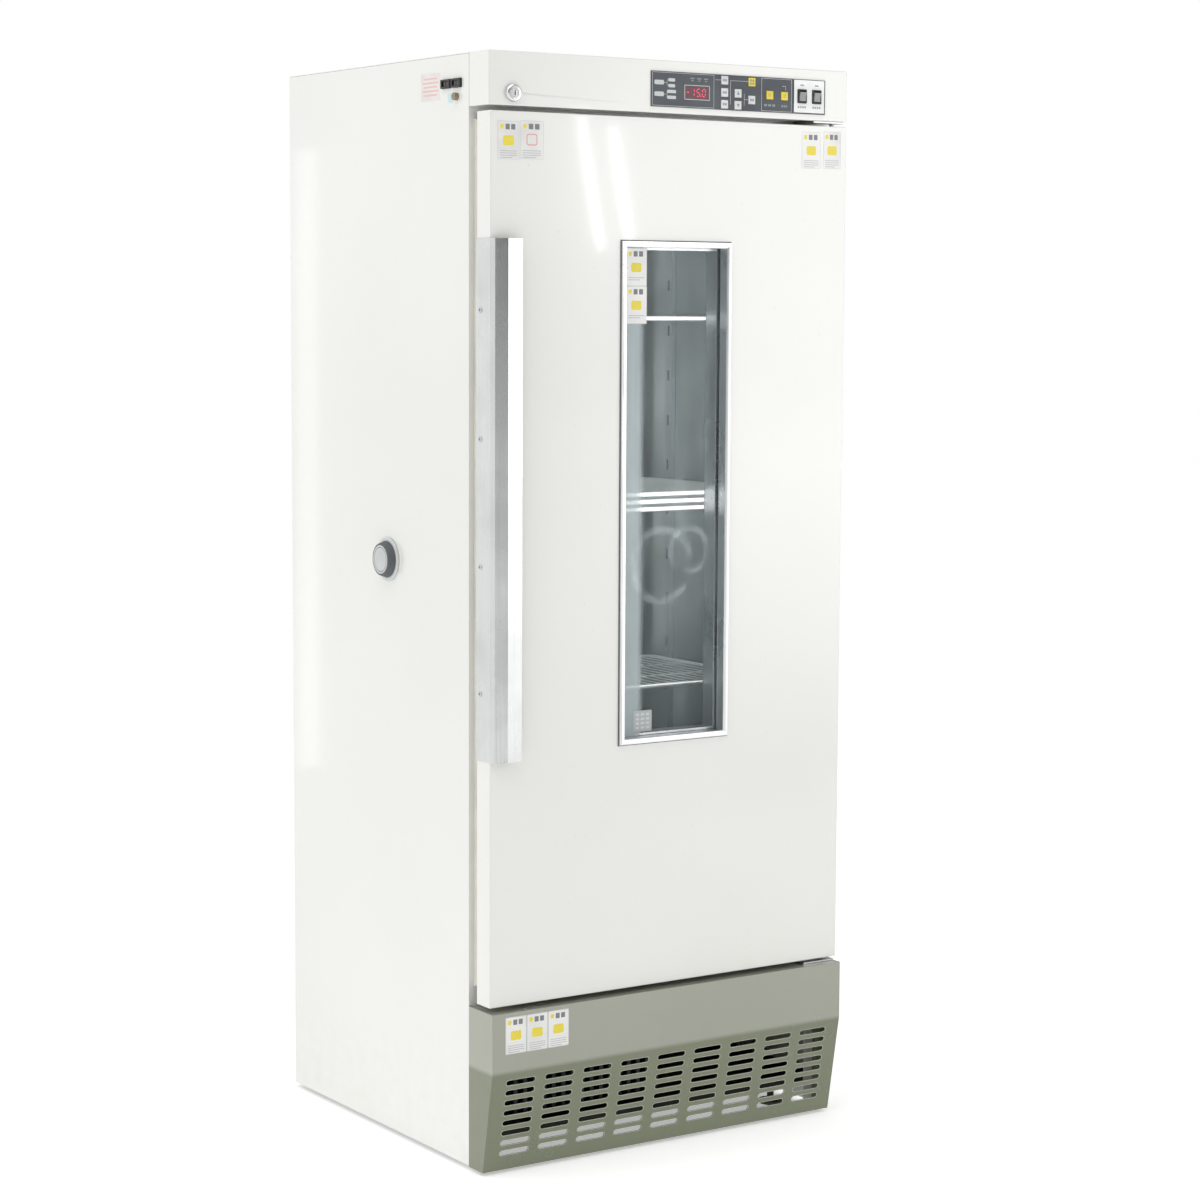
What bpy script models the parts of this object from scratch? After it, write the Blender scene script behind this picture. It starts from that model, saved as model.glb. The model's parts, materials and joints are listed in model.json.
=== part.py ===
"""Upright low-temperature laboratory incubator with a windowed door.

Lengths are metres. Every piece is drawn with x = 0 on the cabinet's middle plane, y = 0 on the
front edge of its side panels, +y to the back and z = 0 on the floor. The empty floor_centre then
carries the whole object so that the origin is the middle of its footprint.
"""

import math

import bmesh
import bpy
from mathutils import Matrix, Vector

# Fits
GAP = 0.0003             # between pieces that touch
CUT = 0.002              # how far a cutter runs past the wall it opens

# Cabinet
WIDTH = 0.700
DEPTH = 0.598
HEIGHT = 1.779
SHEET = 0.0015           # painted steel sheet
FLANGE = 0.020           # folded edges of the side panels
PANEL_FLOOR_GAP = 0.008
BASE_Z = 0.040           # underside of the base tray
BASE_RIM = 0.022

# Lower front cover
COVER_TOP = 0.2699
COVER_BOTTOM = 0.006
COVER_BEND = 0.174
COVER_REACH = 0.0723
COVER_REACH_BOTTOM = 0.0429
SLOT_ROWS = 8
SLOT_LENGTH = 0.055
SLOT_HEIGHT = 0.0085
SLOT_PITCH_X = 0.0736
SLOT_MARGIN = 0.020      # least metal beside the outer columns
SLOT_PITCH = 0.0174
SLOT_FIRST = 0.0193      # from the bend to the first row, along the slope

# Header box in front of the cabinet's top
HEADER_HEIGHT = 0.0834
HEADER_REACH = 0.0595
HEADER_BOTTOM = HEIGHT - HEADER_HEIGHT

# Door
DOOR_GAP_TOP = 0.0082    # to the header
DOOR_GAP_BOTTOM = 0.0084  # to the lower cover
DOOR_TOP = HEADER_BOTTOM - DOOR_GAP_TOP
DOOR_BOTTOM = COVER_TOP + DOOR_GAP_BOTTOM
DOOR_FRONT = 0.0615      # how far its front stands before the side panels
DOOR_SHELL = 0.040       # thickness of the painted shell
DOOR_SIDE_GAP = 0.0015
PLINTH_SIDE = 0.008      # step of the inner panel on the handle side
PLINTH_HINGE_SIDE = 0.0175
PLINTH_TOP = 0.010
PLINTH_BOTTOM = 0.024
PLINTH_WALL = 0.0025
GASKET_THICKNESS = 0.009
GASKET_WIDTH = 0.016
GASKET_SEAT = 0.0015     # groove in the inner panel that holds its root

# Chamber
SIDE_WALL = 0.060        # outside to inside of a side wall
BACK_WALL = 0.068
FOOT_WALL = 0.0667       # door's bottom edge to the chamber's floor
HEAD_WALL = 0.0624       # chamber's roof to the door's top edge
CHAMBER_WIDTH = WIDTH - 2 * SIDE_WALL
CHAMBER_DEPTH = DEPTH - BACK_WALL
CHAMBER_BOTTOM = DOOR_BOTTOM + FOOT_WALL
CHAMBER_TOP = DOOR_TOP - HEAD_WALL
CHAMBER_HEIGHT = CHAMBER_TOP - CHAMBER_BOTTOM
LINER = 0.001            # stainless sheet
INSULATION_MARGIN = 0.060  # foam below and above the chamber
DUCT_DEPTH = 0.090       # air duct on the back wall
DUCT_FRONT = CHAMBER_DEPTH - DUCT_DEPTH
DUCT_SIDE_GAP = 0.020
DUCT_END_GAP = 0.055
FAN_Z = CHAMBER_BOTTOM + 0.668 * CHAMBER_HEIGHT
FAN_RADIUS = 0.060
FAN_TIP_GAP = 0.004
FAN_THICKNESS = 0.018
FAN_FRONT = DUCT_FRONT + 0.012
FAN_SHAFT_RADIUS = 0.0035
FAN_MOTOR_RADIUS = 0.030
MOTOR_CHAMFER = 0.006
SHAFT_ENGAGEMENT = 0.006
DUCT_SLOT_COLUMNS = 5
DUCT_SLOT_ROWS = 4       # at the top, and as many at the bottom
DUCT_SLOT_LENGTH = 0.070
DUCT_SLOT_HEIGHT = 0.008
DUCT_SLOT_PITCH_X = 0.095
DUCT_SLOT_PITCH_Z = 0.018
DUCT_SLOT_MARGIN = 0.030
FAN_OPENINGS = ((0.018, 0.032), (0.038, 0.056))  # inner and outer radius of each ring
FAN_OPENING_BAR = 0.12   # radians, half the angle of a bar between two openings

# Shelves
SHELF_SHARES = (0.3171, 0.5493, 0.7962)  # heights of the rails, as shares of the chamber's
STACKED_LEVEL = 1                      # this pair carries three shelves
STACKED_SHELVES = 3
SHELF_FRONT = 0.045
SHELF_BACK_GAP = 0.045   # to the air duct
SHELF_THICKNESS = 0.008
SHELF_PITCH = 0.0125
SHELF_SIDE_GAP = 0.014
SHELF_SLOTS = 10
SHELF_RIM = 0.012
RAIL_WIDTH = 0.026
RAIL_THICKNESS = 0.003
RAIL_END_GAP = 0.001     # from the posts' outer faces
POST_WIDTH = 0.020
POST_DEPTH = 0.009
POST_INSET = 0.030       # from the shelves' front and back
POST_END_GAP = 0.040     # to the chamber's floor and roof
POST_SLOTS = 14
POST_SLOT_WIDTH = 0.006
POST_SLOT_HEIGHT = 0.018
POST_SLOT_CLEAR = 0.012  # least distance from a slot's middle to a rail

# Door hinges
HINGE_INSET = 0.016      # pin axis from the cabinet's right side
HINGE_X = WIDTH / 2 - HINGE_INSET
HINGE_REACH = 0.040      # pin axis before the side panels' front
PIN_RADIUS = 0.004
PIN_CLEARANCE = 0.0004
PIN_ENGAGEMENT = 0.016
HINGE_PLATE = 0.003
HINGE_PLATE_WIDTH = 0.054
HINGE_LEG = 0.055
HINGE_COLLAR_RADIUS = 0.0085
HINGE_FRONT_INSET = 0.004  # behind the door's front

# Window
WINDOW_WIDTH = 0.215
WINDOW_X = 0.003         # its middle from the cabinet's
WINDOW_LEFT = WINDOW_X - WINDOW_WIDTH / 2
WINDOW_RIGHT = WINDOW_X + WINDOW_WIDTH / 2
WINDOW_SILL = 0.4026     # above the door's bottom edge
WINDOW_HEAD = 0.1957     # below its top edge
WINDOW_BOTTOM = DOOR_BOTTOM + WINDOW_SILL
WINDOW_TOP = DOOR_TOP - WINDOW_HEAD
TRIM_WIDTH = 0.0095
TRIM_PROUD = 0.0055
TRIM_SLEEVE = 0.0015
TRIM_DEPTH = 0.014       # how far the sleeve runs into the door
PANE = 0.004
PANE_LAP = 0.006
SPACER_WIDTH = 0.010

# Handle, an aluminium section screwed to the door's left edge
HANDLE_BOTTOM = DOOR_BOTTOM + 0.3945
HANDLE_TOP = DOOR_TOP - 0.1954
HANDLE_WALL = 0.0025
HANDLE_REACH = 0.0185    # ridge before the door's front face
HANDLE_WIDTH = 0.051
HANDLE_RIDGE = 0.0234    # ridge from the outer edge
HANDLE_LIP_DROP = 0.0025
HANDLE_FOOT = 0.008      # width of its rib on the door's front
HANDLE_RIB_RISE = 0.0075
HANDLE_CORNER_RISE = 0.0025
HANDLE_SHOULDER = 0.005
HANDLE_SHOULDER_RISE = 0.009

# Control panel
PANEL_WIDTH = 0.3508
PANEL_HEIGHT = 0.0563
PANEL_INSET = 0.0472     # from the header's right end
PANEL_RISE = 0.0098      # above the header's bottom
PANEL_RIGHT = WIDTH / 2 - PANEL_INSET
PANEL_LEFT = PANEL_RIGHT - PANEL_WIDTH
PANEL_BOTTOM = HEADER_BOTTOM + PANEL_RISE
PANEL_TOP = PANEL_BOTTOM + PANEL_HEIGHT
PANEL_THICKNESS = 0.0015
PANEL_LAP_SIDE = 0.004   # how far it lies over the header beside the opening
PANEL_LAP_END = 0.0012   # and above and below it
KEY_SIZE = 0.0136
KEY_CLEARANCE = 0.0003
KEY_PROUD = 0.0010
KEY_FLANGE = 0.0010
KEY_LENGTH = 0.0065
KEYS = {                 # centre of each key from the panel's lower left corner
    "key_1": (0.1442, 0.0475),
    "key_2": (0.1442, 0.0279),
    "key_3": (0.1442, 0.0091),
    "key_up": (0.1712, 0.0277),
    "key_down": (0.1712, 0.0086),
    "key_start": (0.1990, 0.0470),
    "key_light": (0.1990, 0.0182),
    "key_heat": (0.2358, 0.0277),
    "key_cool": (0.2660, 0.0274),
}
YELLOW_KEYS = ("key_start", "key_heat", "key_cool")
DISPLAY_X = PANEL_LEFT + 0.0897
DISPLAY_Z = PANEL_BOTTOM + 0.0251
DISPLAY_WIDTH = 0.050
DISPLAY_HEIGHT = 0.0235
DISPLAY_DEPTH = 0.007
SWITCH_PLATE_X = PANEL_RIGHT - 0.0342
SWITCH_PLATE_Z = PANEL_BOTTOM + 0.0286
SWITCH_PLATE_WIDTH = 0.0625
SWITCH_PLATE_HEIGHT = 0.053
SWITCH_PLATE_THICKNESS = 0.001
ROCKERS = {              # middle of each rocker
    "power_switch": SWITCH_PLATE_X - 0.0151,
    "lamp_switch": SWITCH_PLATE_X + 0.0152,
}
ROCKER_WIDTH = 0.0125
ROCKER_HALF_HEIGHT = 0.0075
ROCKER_CLEARANCE = 0.0005
ROCKER_TILT = 10.0       # degrees, each way
SWITCH_WALL = 0.0022
SWITCH_END_ROOM = 0.0014  # above and below a rocker, for its swing
SWITCH_PROUD = 0.0020
SWITCH_DEPTH = 0.020
ROCKER_PIVOT = 0.45      # its axis and its waist, as shares of its half height
ROCKER_BACK = 0.72
ROCKER_WAIST = 0.52

# Door lock
LOCK_X = -WIDTH / 2 + 0.0432
LOCK_Z = HEADER_BOTTOM + 0.0193
LOCK_RING_RADIUS = 0.014
LOCK_BARREL_RADIUS = 0.0095
LOCK_PLUG_RADIUS = 0.006
LOCK_CLEARANCE = 0.0003
LOCK_PROUD = 0.007
LOCK_LENGTH = 0.027
CAM_LENGTH = 0.032
CAM_WIDTH = 0.007
CAM_THICKNESS = 0.003
CAM_ROOM = 0.002
KEYWAY_WIDTH = 0.0018
KEYWAY_HEIGHT = 0.0074
KEYWAY_DEPTH = 0.007

# Cable port in the left side
PORT_Y = 0.257
PORT_Z = 0.9706
PORT_FLANGE_RADIUS = 0.0365
PORT_FLANGE_THICKNESS = 0.003
PORT_TUBE_RADIUS = 0.029
PORT_BORE_RADIUS = 0.026
PORT_CLEARANCE = 0.0006
PORT_COLLAR = 0.124  # side of the square collar that fills the insulation round the tube
PLUG_HEAD_RADIUS = 0.031
PLUG_FACE_RADIUS = 0.0265
PLUG_HEAD = 0.012
PLUG_STEM = 0.026
PLUG_STEM_TAPER = 0.96

# Outlets and earth terminal on the left side
OUTLET_Z = HEIGHT - 0.045
OUTLET_YS = (0.0351, 0.0669)
OUTLET_LENGTH = 0.028
OUTLET_HEIGHT = 0.014
OUTLET_PROUD = 0.004
OUTLET_BASE = 0.012
OUTLET_FACE_LENGTH = 0.0202
OUTLET_FACE_HEIGHT = 0.0078
OUTLET_FACE_DEPTH = 0.0025
EARTH_Y = 0.0357
EARTH_Z = HEIGHT - 0.0662
EARTH_RADIUS = 0.006
EARTH_PROUD = 0.008
EARTH_NUT = 0.003

# Power inlet in the back
INLET_X = WIDTH / 2 - 0.110
INLET_Z = HEIGHT - 0.044
INLET_WIDTH = 0.048
INLET_HEIGHT = 0.028
INLET_PROUD = 0.002
INLET_DEPTH = 0.022
INLET_STEP = 0.004       # its body is smaller than its face by this on every side
INLET_WELL_WIDTH = 0.028
INLET_WELL_HEIGHT = 0.016
INLET_WELL_FLOOR = 0.004

# Machine compartment
REAR_SLOT_MARGIN = 0.060
REAR_SLOT_PITCH = 0.040
REAR_SLOT_WIDTH = 0.008
REAR_SLOT_LOW = 0.080
REAR_SLOT_HIGH = 0.230
COMPRESSOR_X = WIDTH / 2 - 0.200
COMPRESSOR_Y = DEPTH - 0.198
COMPRESSOR_RADIUS = 0.085
COMPRESSOR_SHELL = (     # share of the radius and height above the tray, floor to crown
    (0.0, 0.020), (0.80, 0.020), (1.0, 0.042), (1.0, 0.120), (0.86, 0.155), (0.50, 0.171), (0.0, 0.175),
)
COMPRESSOR_PLATE = (1.15, 0.80)  # half width and half depth, as shares of the radius
COMPRESSOR_PLATE_Z = (0.018, 0.022)
COMPRESSOR_FOOT_RADIUS = 0.012
COMPRESSOR_FOOT_Y = 0.62  # share of the radius
CONDENSER_X = -0.090
CONDENSER_WIDTH = 0.300
CONDENSER_BOTTOM = 0.062
CONDENSER_TOP = 0.252
CONDENSER_FRONT = 0.040
CONDENSER_DEPTH = 0.045
CONDENSER_FINS = 16
COOLING_FAN_RADIUS = 0.080
COOLING_FAN_THICKNESS = 0.018
COOLING_FAN_GAP = 0.004   # behind the fins
SHROUD_WALL = 0.012
SHROUD_LAP = 0.006
SHROUD_DEPTH = 0.030
STRUT_HEIGHT = 0.016      # the bar across the shroud that holds the motor
STRUT_LAP = 0.001
STRUT_PROUD = 0.002
COOLING_MOTOR_RADIUS = 0.026
COOLING_MOTOR_DEPTH = 0.040
EVAPORATOR_BOTTOM = CHAMBER_BOTTOM + 0.115
EVAPORATOR_TOP = FAN_Z - 0.300
EVAPORATOR_WIDTH = CHAMBER_WIDTH - 0.140
EVAPORATOR_DEPTH = 0.050
EVAPORATOR_FINS = 14
EVAPORATOR_GAP = 0.006   # to the liner
BRACKET_SIZE = 0.030
BRACKET_LAP = 0.006
BRACKET_X = 0.170
BRACKET_END = 0.050      # from the fins' ends
FIN_THICKNESS = 0.4      # share of the pitch
FIN_ROOT = 0.25          # share of the depth that is solid
FOOT_RADIUS = 0.022
FOOT_PAD = 0.010
FOOT_STEM_RADIUS = 0.006
FOOT_X = WIDTH / 2 - 0.050
FOOT_FRONT_Y = 0.055
FOOT_BACK_INSET = 0.060

# The whole object's reach past the cabinet on each side
REACH_LEFT = PORT_FLANGE_THICKNESS + GAP * 2 + PLUG_HEAD
REACH_FRONT = DOOR_FRONT + HANDLE_REACH
REACH_BACK = INLET_PROUD + GAP

LEFT = -WIDTH / 2
RIGHT = WIDTH / 2
CHAMBER_LEFT = -CHAMBER_WIDTH / 2
CHAMBER_RIGHT = CHAMBER_WIDTH / 2
SHELF_LEVELS = [CHAMBER_BOTTOM + share * CHAMBER_HEIGHT for share in SHELF_SHARES]
SHELF_DEPTH = DUCT_FRONT - SHELF_BACK_GAP - SHELF_FRONT
SLOT_COLUMNS = int((WIDTH - 2 * SLOT_MARGIN - SLOT_LENGTH) / SLOT_PITCH_X) + 1
REAR_SLOTS = int((WIDTH - 2 * REAR_SLOT_MARGIN) / REAR_SLOT_PITCH)
DOOR_LEFT = LEFT + DOOR_SIDE_GAP
DOOR_RIGHT = RIGHT - DOOR_SIDE_GAP
DOOR_BACK = DOOR_SHELL - DOOR_FRONT
HINGE_Y = -HINGE_REACH
PANEL_FACE = -HEADER_REACH - GAP - PANEL_THICKNESS
GLASS_LEFT = WINDOW_LEFT + TRIM_WIDTH
GLASS_RIGHT = WINDOW_RIGHT - TRIM_WIDTH
GLASS_BOTTOM = WINDOW_BOTTOM + TRIM_WIDTH
GLASS_TOP = WINDOW_TOP - TRIM_WIDTH


# Materials

def look(name, colour, roughness, metallic=0.0):
    """A Principled material of one colour."""
    material = bpy.data.materials.new(name)
    material.use_nodes = True
    shader = material.node_tree.nodes["Principled BSDF"]
    shader.inputs["Base Color"].default_value = (*colour, 1.0)
    shader.inputs["Roughness"].default_value = roughness
    shader.inputs["Metallic"].default_value = metallic
    return material


# Meshes

def boxes(*corners):
    """Boxes that don't meet, each given by its lowest and highest corner."""
    mesh = bmesh.new()
    for low, high in corners:
        size = Vector(high) - Vector(low)
        middle = (Vector(high) + Vector(low)) / 2
        place = Matrix.Translation(middle) @ Matrix.Diagonal((*size, 1.0))
        bmesh.ops.create_cube(mesh, size=1.0, matrix=place)
    return mesh


def prism(outline, axis, start, end):
    """An outline carried along X (points y, z), Y (points x, z) or Z (points x, y)."""
    put = {
        "X": lambda a, b, along: (along, a, b),
        "Y": lambda a, b, along: (a, along, b),
        "Z": lambda a, b, along: (a, b, along),
    }[axis]
    mesh = bmesh.new()
    low = [mesh.verts.new(put(a, b, start)) for a, b in outline]
    high = [mesh.verts.new(put(a, b, end)) for a, b in outline]
    mesh.faces.new(low)
    mesh.faces.new(high)
    for i in range(len(outline)):
        j = (i + 1) % len(outline)
        mesh.faces.new((low[i], low[j], high[j], high[i]))
    bmesh.ops.recalc_face_normals(mesh, faces=mesh.faces[:])
    return mesh


def turned(profile, centre, axis="Z", segments=24, ring=False):
    """A profile of (radius, distance along the axis) turned about a line through centre.

    A solid profile starts and ends on the axis; a ring's last point joins its first."""
    put = {
        "X": lambda r, along, c, s: (along, r * c, r * s),
        "Y": lambda r, along, c, s: (r * s, along, r * c),
        "Z": lambda r, along, c, s: (r * c, r * s, along),
    }[axis]
    mesh = bmesh.new()
    rows = []
    for radius, along in profile:
        steps = segments if radius > 0 else 1
        row = []
        for i in range(steps):
            angle = 2 * math.pi * i / segments
            point = Vector(put(radius, along, math.cos(angle), math.sin(angle)))
            row.append(mesh.verts.new(point + Vector(centre)))
        rows.append(row)
    pairs = list(zip(rows, rows[1:]))
    if ring:
        pairs.append((rows[-1], rows[0]))
    for row, following in pairs:
        for i in range(segments):
            j = (i + 1) % segments
            corners = [row[i % len(row)], row[j % len(row)]]
            corners += [following[j % len(following)], following[i % len(following)]]
            mesh.faces.new(dict.fromkeys(corners))
    bmesh.ops.recalc_face_normals(mesh, faces=mesh.faces[:])
    return mesh


def together(*meshes):
    """Several meshes as one, their bodies still apart."""
    whole = bmesh.new()
    for mesh in meshes:
        held = bpy.data.meshes.new("held")
        mesh.to_mesh(held)
        mesh.free()
        whole.from_mesh(held)
        bpy.data.meshes.remove(held)
    return whole


def placed(mesh, matrix):
    """The mesh moved by a matrix."""
    bmesh.ops.transform(mesh, matrix=matrix, verts=mesh.verts[:])
    return mesh


def obround(length, height, corner_steps=3):
    """The outline of a slot with round ends, about its middle."""
    radius = height / 2
    reach = length / 2 - radius
    points = []
    for side in (1, -1):
        for i in range(corner_steps + 1):
            angle = math.pi * (i / corner_steps - 0.5)
            points.append((side * (reach + radius * math.cos(angle)), side * radius * math.sin(angle)))
    return points


# Objects

def pivot(name, at):
    """An empty on a joint's axis."""
    empty = bpy.data.objects.new(name, None)
    empty.location = at
    bpy.context.collection.objects.link(empty)
    empty.parent = CABINET
    return empty


def add_object(name, mesh, carrier):
    """A mesh drawn in the cabinet's frame as an object on its carrier."""
    if carrier is not CABINET:
        bmesh.ops.translate(mesh, vec=-carrier.location, verts=mesh.verts[:])
    data = bpy.data.meshes.new(name)
    mesh.to_mesh(data)
    mesh.free()
    thing = bpy.data.objects.new(name, data)
    bpy.context.collection.objects.link(thing)
    thing.parent = carrier
    return thing


def piece(name, mesh, material, carrier=None, smooth=False):
    """One sub-part of the object."""
    thing = add_object(name, mesh, carrier or CABINET)
    thing.data.materials.append(material)
    if smooth:
        thing.data.shade_smooth()
        thing.data.set_sharp_from_angle(angle=math.radians(35))
    return thing


def boolean(thing, mesh, operation):
    """Cuts a mesh from a piece, or joins it on."""
    tool = add_object(f"{thing.name}_tool_{len(thing.modifiers) + 1}", mesh, thing.parent)
    tool.hide_render = True
    tool.display_type = "WIRE"
    step = thing.modifiers.new(operation.lower(), "BOOLEAN")
    step.operation = operation
    step.solver = "EXACT"
    step.object = tool


def cut(thing, mesh):
    boolean(thing, mesh, "DIFFERENCE")


def join(thing, mesh):
    boolean(thing, mesh, "UNION")


# Cabinet shell

def side_panel(name, side):
    """A sheet with its front and back edges folded inwards; side is -1 left, 1 right."""
    outer = side * WIDTH / 2
    inner = outer - side * SHEET
    fold = outer - side * FLANGE
    outline = [
        (outer, 0.0), (fold, 0.0), (fold, SHEET), (inner, SHEET),
        (inner, DEPTH - SHEET), (fold, DEPTH - SHEET), (fold, DEPTH), (outer, DEPTH),
    ]
    top = HEIGHT - SHEET - GAP
    return piece(name, prism(outline, "Z", PANEL_FLOOR_GAP, top), PAINT)


def cabinet_shell():
    left = side_panel("side_panel_left", -1)
    side_panel("side_panel_right", 1)
    wall = [(0.0, LEFT - CUT), (PORT_TUBE_RADIUS + GAP, LEFT - CUT)]
    wall += [(PORT_TUBE_RADIUS + GAP, LEFT + SHEET + CUT), (0.0, LEFT + SHEET + CUT)]
    cut(left, turned(wall, (0, PORT_Y, PORT_Z), "X", 32))
    holes = []
    for y in OUTLET_YS:
        half = Vector((0, OUTLET_LENGTH / 2 + GAP, OUTLET_HEIGHT / 2 + GAP))
        middle = Vector((LEFT, y, OUTLET_Z))
        reach = Vector((SHEET + CUT, 0, 0))
        holes.append((middle - half - reach, middle + half + reach))
    cut(left, boxes(*holes))
    shank = EARTH_RADIUS / 2 + GAP
    hole = [(0.0, LEFT - CUT), (shank, LEFT - CUT), (shank, LEFT + SHEET + CUT), (0.0, LEFT + SHEET + CUT)]
    cut(left, turned(hole, (0, EARTH_Y, EARTH_Z), "X", 16))

    top = piece("top_panel", boxes(((LEFT, 0, HEIGHT - SHEET), (RIGHT, DEPTH, HEIGHT))), PAINT)
    rim_x = WIDTH / 2 - SHEET - CUT
    rim_low = HEIGHT - FLANGE
    rim_high = HEIGHT - SHEET / 2
    front = SHEET + CUT
    back = DEPTH - SHEET - CUT
    join(top, boxes(((-rim_x, front, rim_low), (rim_x, front + SHEET, rim_high))))
    join(top, boxes(((-rim_x, back - SHEET, rim_low), (rim_x, back, rim_high))))

    back_x = WIDTH / 2 - FLANGE - GAP
    back_panel = piece(
        "back_panel",
        boxes(((-back_x, DEPTH - SHEET, PANEL_FLOOR_GAP), (back_x, DEPTH, HEIGHT - SHEET - GAP))),
        PAINT,
    )
    slots = []
    for i in range(REAR_SLOTS):
        x = (i - (REAR_SLOTS - 1) / 2) * REAR_SLOT_PITCH
        low = (x - REAR_SLOT_WIDTH / 2, DEPTH - SHEET - CUT, REAR_SLOT_LOW)
        high = (x + REAR_SLOT_WIDTH / 2, DEPTH + CUT, REAR_SLOT_HIGH)
        slots.append((low, high))
    through = (DEPTH - SHEET - CUT, DEPTH + CUT)
    slots.append(window_in(INLET_X, INLET_Z, INLET_WIDTH, INLET_HEIGHT, -INLET_STEP / 2, through))
    cut(back_panel, boxes(*slots))

    frame_x = WIDTH / 2 - FLANGE - GAP
    frame_low = COVER_TOP - HINGE_LEG - FLANGE
    frame = piece(
        "front_frame",
        boxes(((-frame_x, 0, frame_low), (frame_x, SHEET, HEIGHT - SHEET - GAP))),
        PAINT,
    )
    edge = LINER + GAP
    cut(frame, boxes((
        (CHAMBER_LEFT - edge, -CUT, CHAMBER_BOTTOM - edge),
        (CHAMBER_RIGHT + edge, SHEET + CUT, CHAMBER_TOP + edge),
    )))

    tray_x = WIDTH / 2 - SHEET - GAP
    tray_front = SHEET + GAP
    tray_back = DEPTH - SHEET - GAP
    tray = piece(
        "base_tray",
        boxes(((-tray_x, tray_front, BASE_Z), (tray_x, tray_back, BASE_Z + BASE_RIM))),
        STEEL,
    )
    cut(tray, boxes((
        (-tray_x + SHEET, tray_front + SHEET, BASE_Z + SHEET),
        (tray_x - SHEET, tray_back - SHEET, BASE_Z + BASE_RIM + CUT),
    )))


def feet():
    back_y = DEPTH - FOOT_BACK_INSET
    top = BASE_Z - GAP
    profile = [
        (0.0, 0.0), (FOOT_RADIUS * 0.9, 0.0), (FOOT_RADIUS, FOOT_PAD * 0.3), (FOOT_RADIUS, FOOT_PAD * 0.6),
        (FOOT_STEM_RADIUS, FOOT_PAD), (FOOT_STEM_RADIUS, top), (0.0, top),
    ]
    for name, x, y in (
        ("foot_front_left", -FOOT_X, FOOT_FRONT_Y),
        ("foot_front_right", FOOT_X, FOOT_FRONT_Y),
        ("foot_back_left", -FOOT_X, back_y),
        ("foot_back_right", FOOT_X, back_y),
    ):
        piece(name, turned(profile, (x, y, 0.0), "Z", 16), RUBBER, smooth=True)


# Chamber

def chamber():
    outer = LINER
    back = CHAMBER_DEPTH + LINER
    liner = piece(
        "chamber_liner",
        boxes((
            (CHAMBER_LEFT - outer, 0.0, CHAMBER_BOTTOM - outer),
            (CHAMBER_RIGHT + outer, back, CHAMBER_TOP + outer),
        )),
        STAINLESS,
    )
    cut(liner, boxes((
        (CHAMBER_LEFT, -CUT, CHAMBER_BOTTOM),
        (CHAMBER_RIGHT, CHAMBER_DEPTH, CHAMBER_TOP),
    )))
    port = PORT_TUBE_RADIUS + GAP
    port_hole = [(0.0, LEFT), (port, LEFT), (port, CHAMBER_LEFT + CUT), (0.0, CHAMBER_LEFT + CUT)]
    cut(liner, turned(port_hole, (0, PORT_Y, PORT_Z), "X", 32))
    shaft = FAN_SHAFT_RADIUS + CUT
    shaft_hole = [
        (0.0, CHAMBER_DEPTH - CUT), (shaft, CHAMBER_DEPTH - CUT),
        (shaft, back + CUT), (0.0, back + CUT),
    ]
    cut(liner, turned(shaft_hole, (0, 0, FAN_Z), "Y", 16))

    foam_x = WIDTH / 2 - SHEET - GAP
    foam_front = SHEET + GAP
    foam_back = DEPTH - SHEET - GAP
    fit = LINER + GAP
    foam = piece(
        "insulation",
        boxes((
            (-foam_x, foam_front, CHAMBER_BOTTOM - INSULATION_MARGIN),
            (foam_x, foam_back, CHAMBER_TOP + INSULATION_MARGIN),
        )),
        FOAM,
    )
    cut(foam, boxes((
        (CHAMBER_LEFT - fit, -CUT, CHAMBER_BOTTOM - fit),
        (CHAMBER_RIGHT + fit, CHAMBER_DEPTH + fit, CHAMBER_TOP + fit),
    )))
    notch = PORT_COLLAR / 2 + GAP
    cut(foam, boxes((
        (LEFT, PORT_Y - notch, PORT_Z - notch),
        (CHAMBER_LEFT, PORT_Y + notch, PORT_Z + notch),
    )))
    motor_well = FAN_MOTOR_RADIUS + GAP
    well = [
        (0.0, CHAMBER_DEPTH - CUT), (motor_well, CHAMBER_DEPTH - CUT),
        (motor_well, foam_back + CUT), (0.0, foam_back + CUT),
    ]
    cut(foam, turned(well, (0, 0, FAN_Z), "Y", 24))


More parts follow.
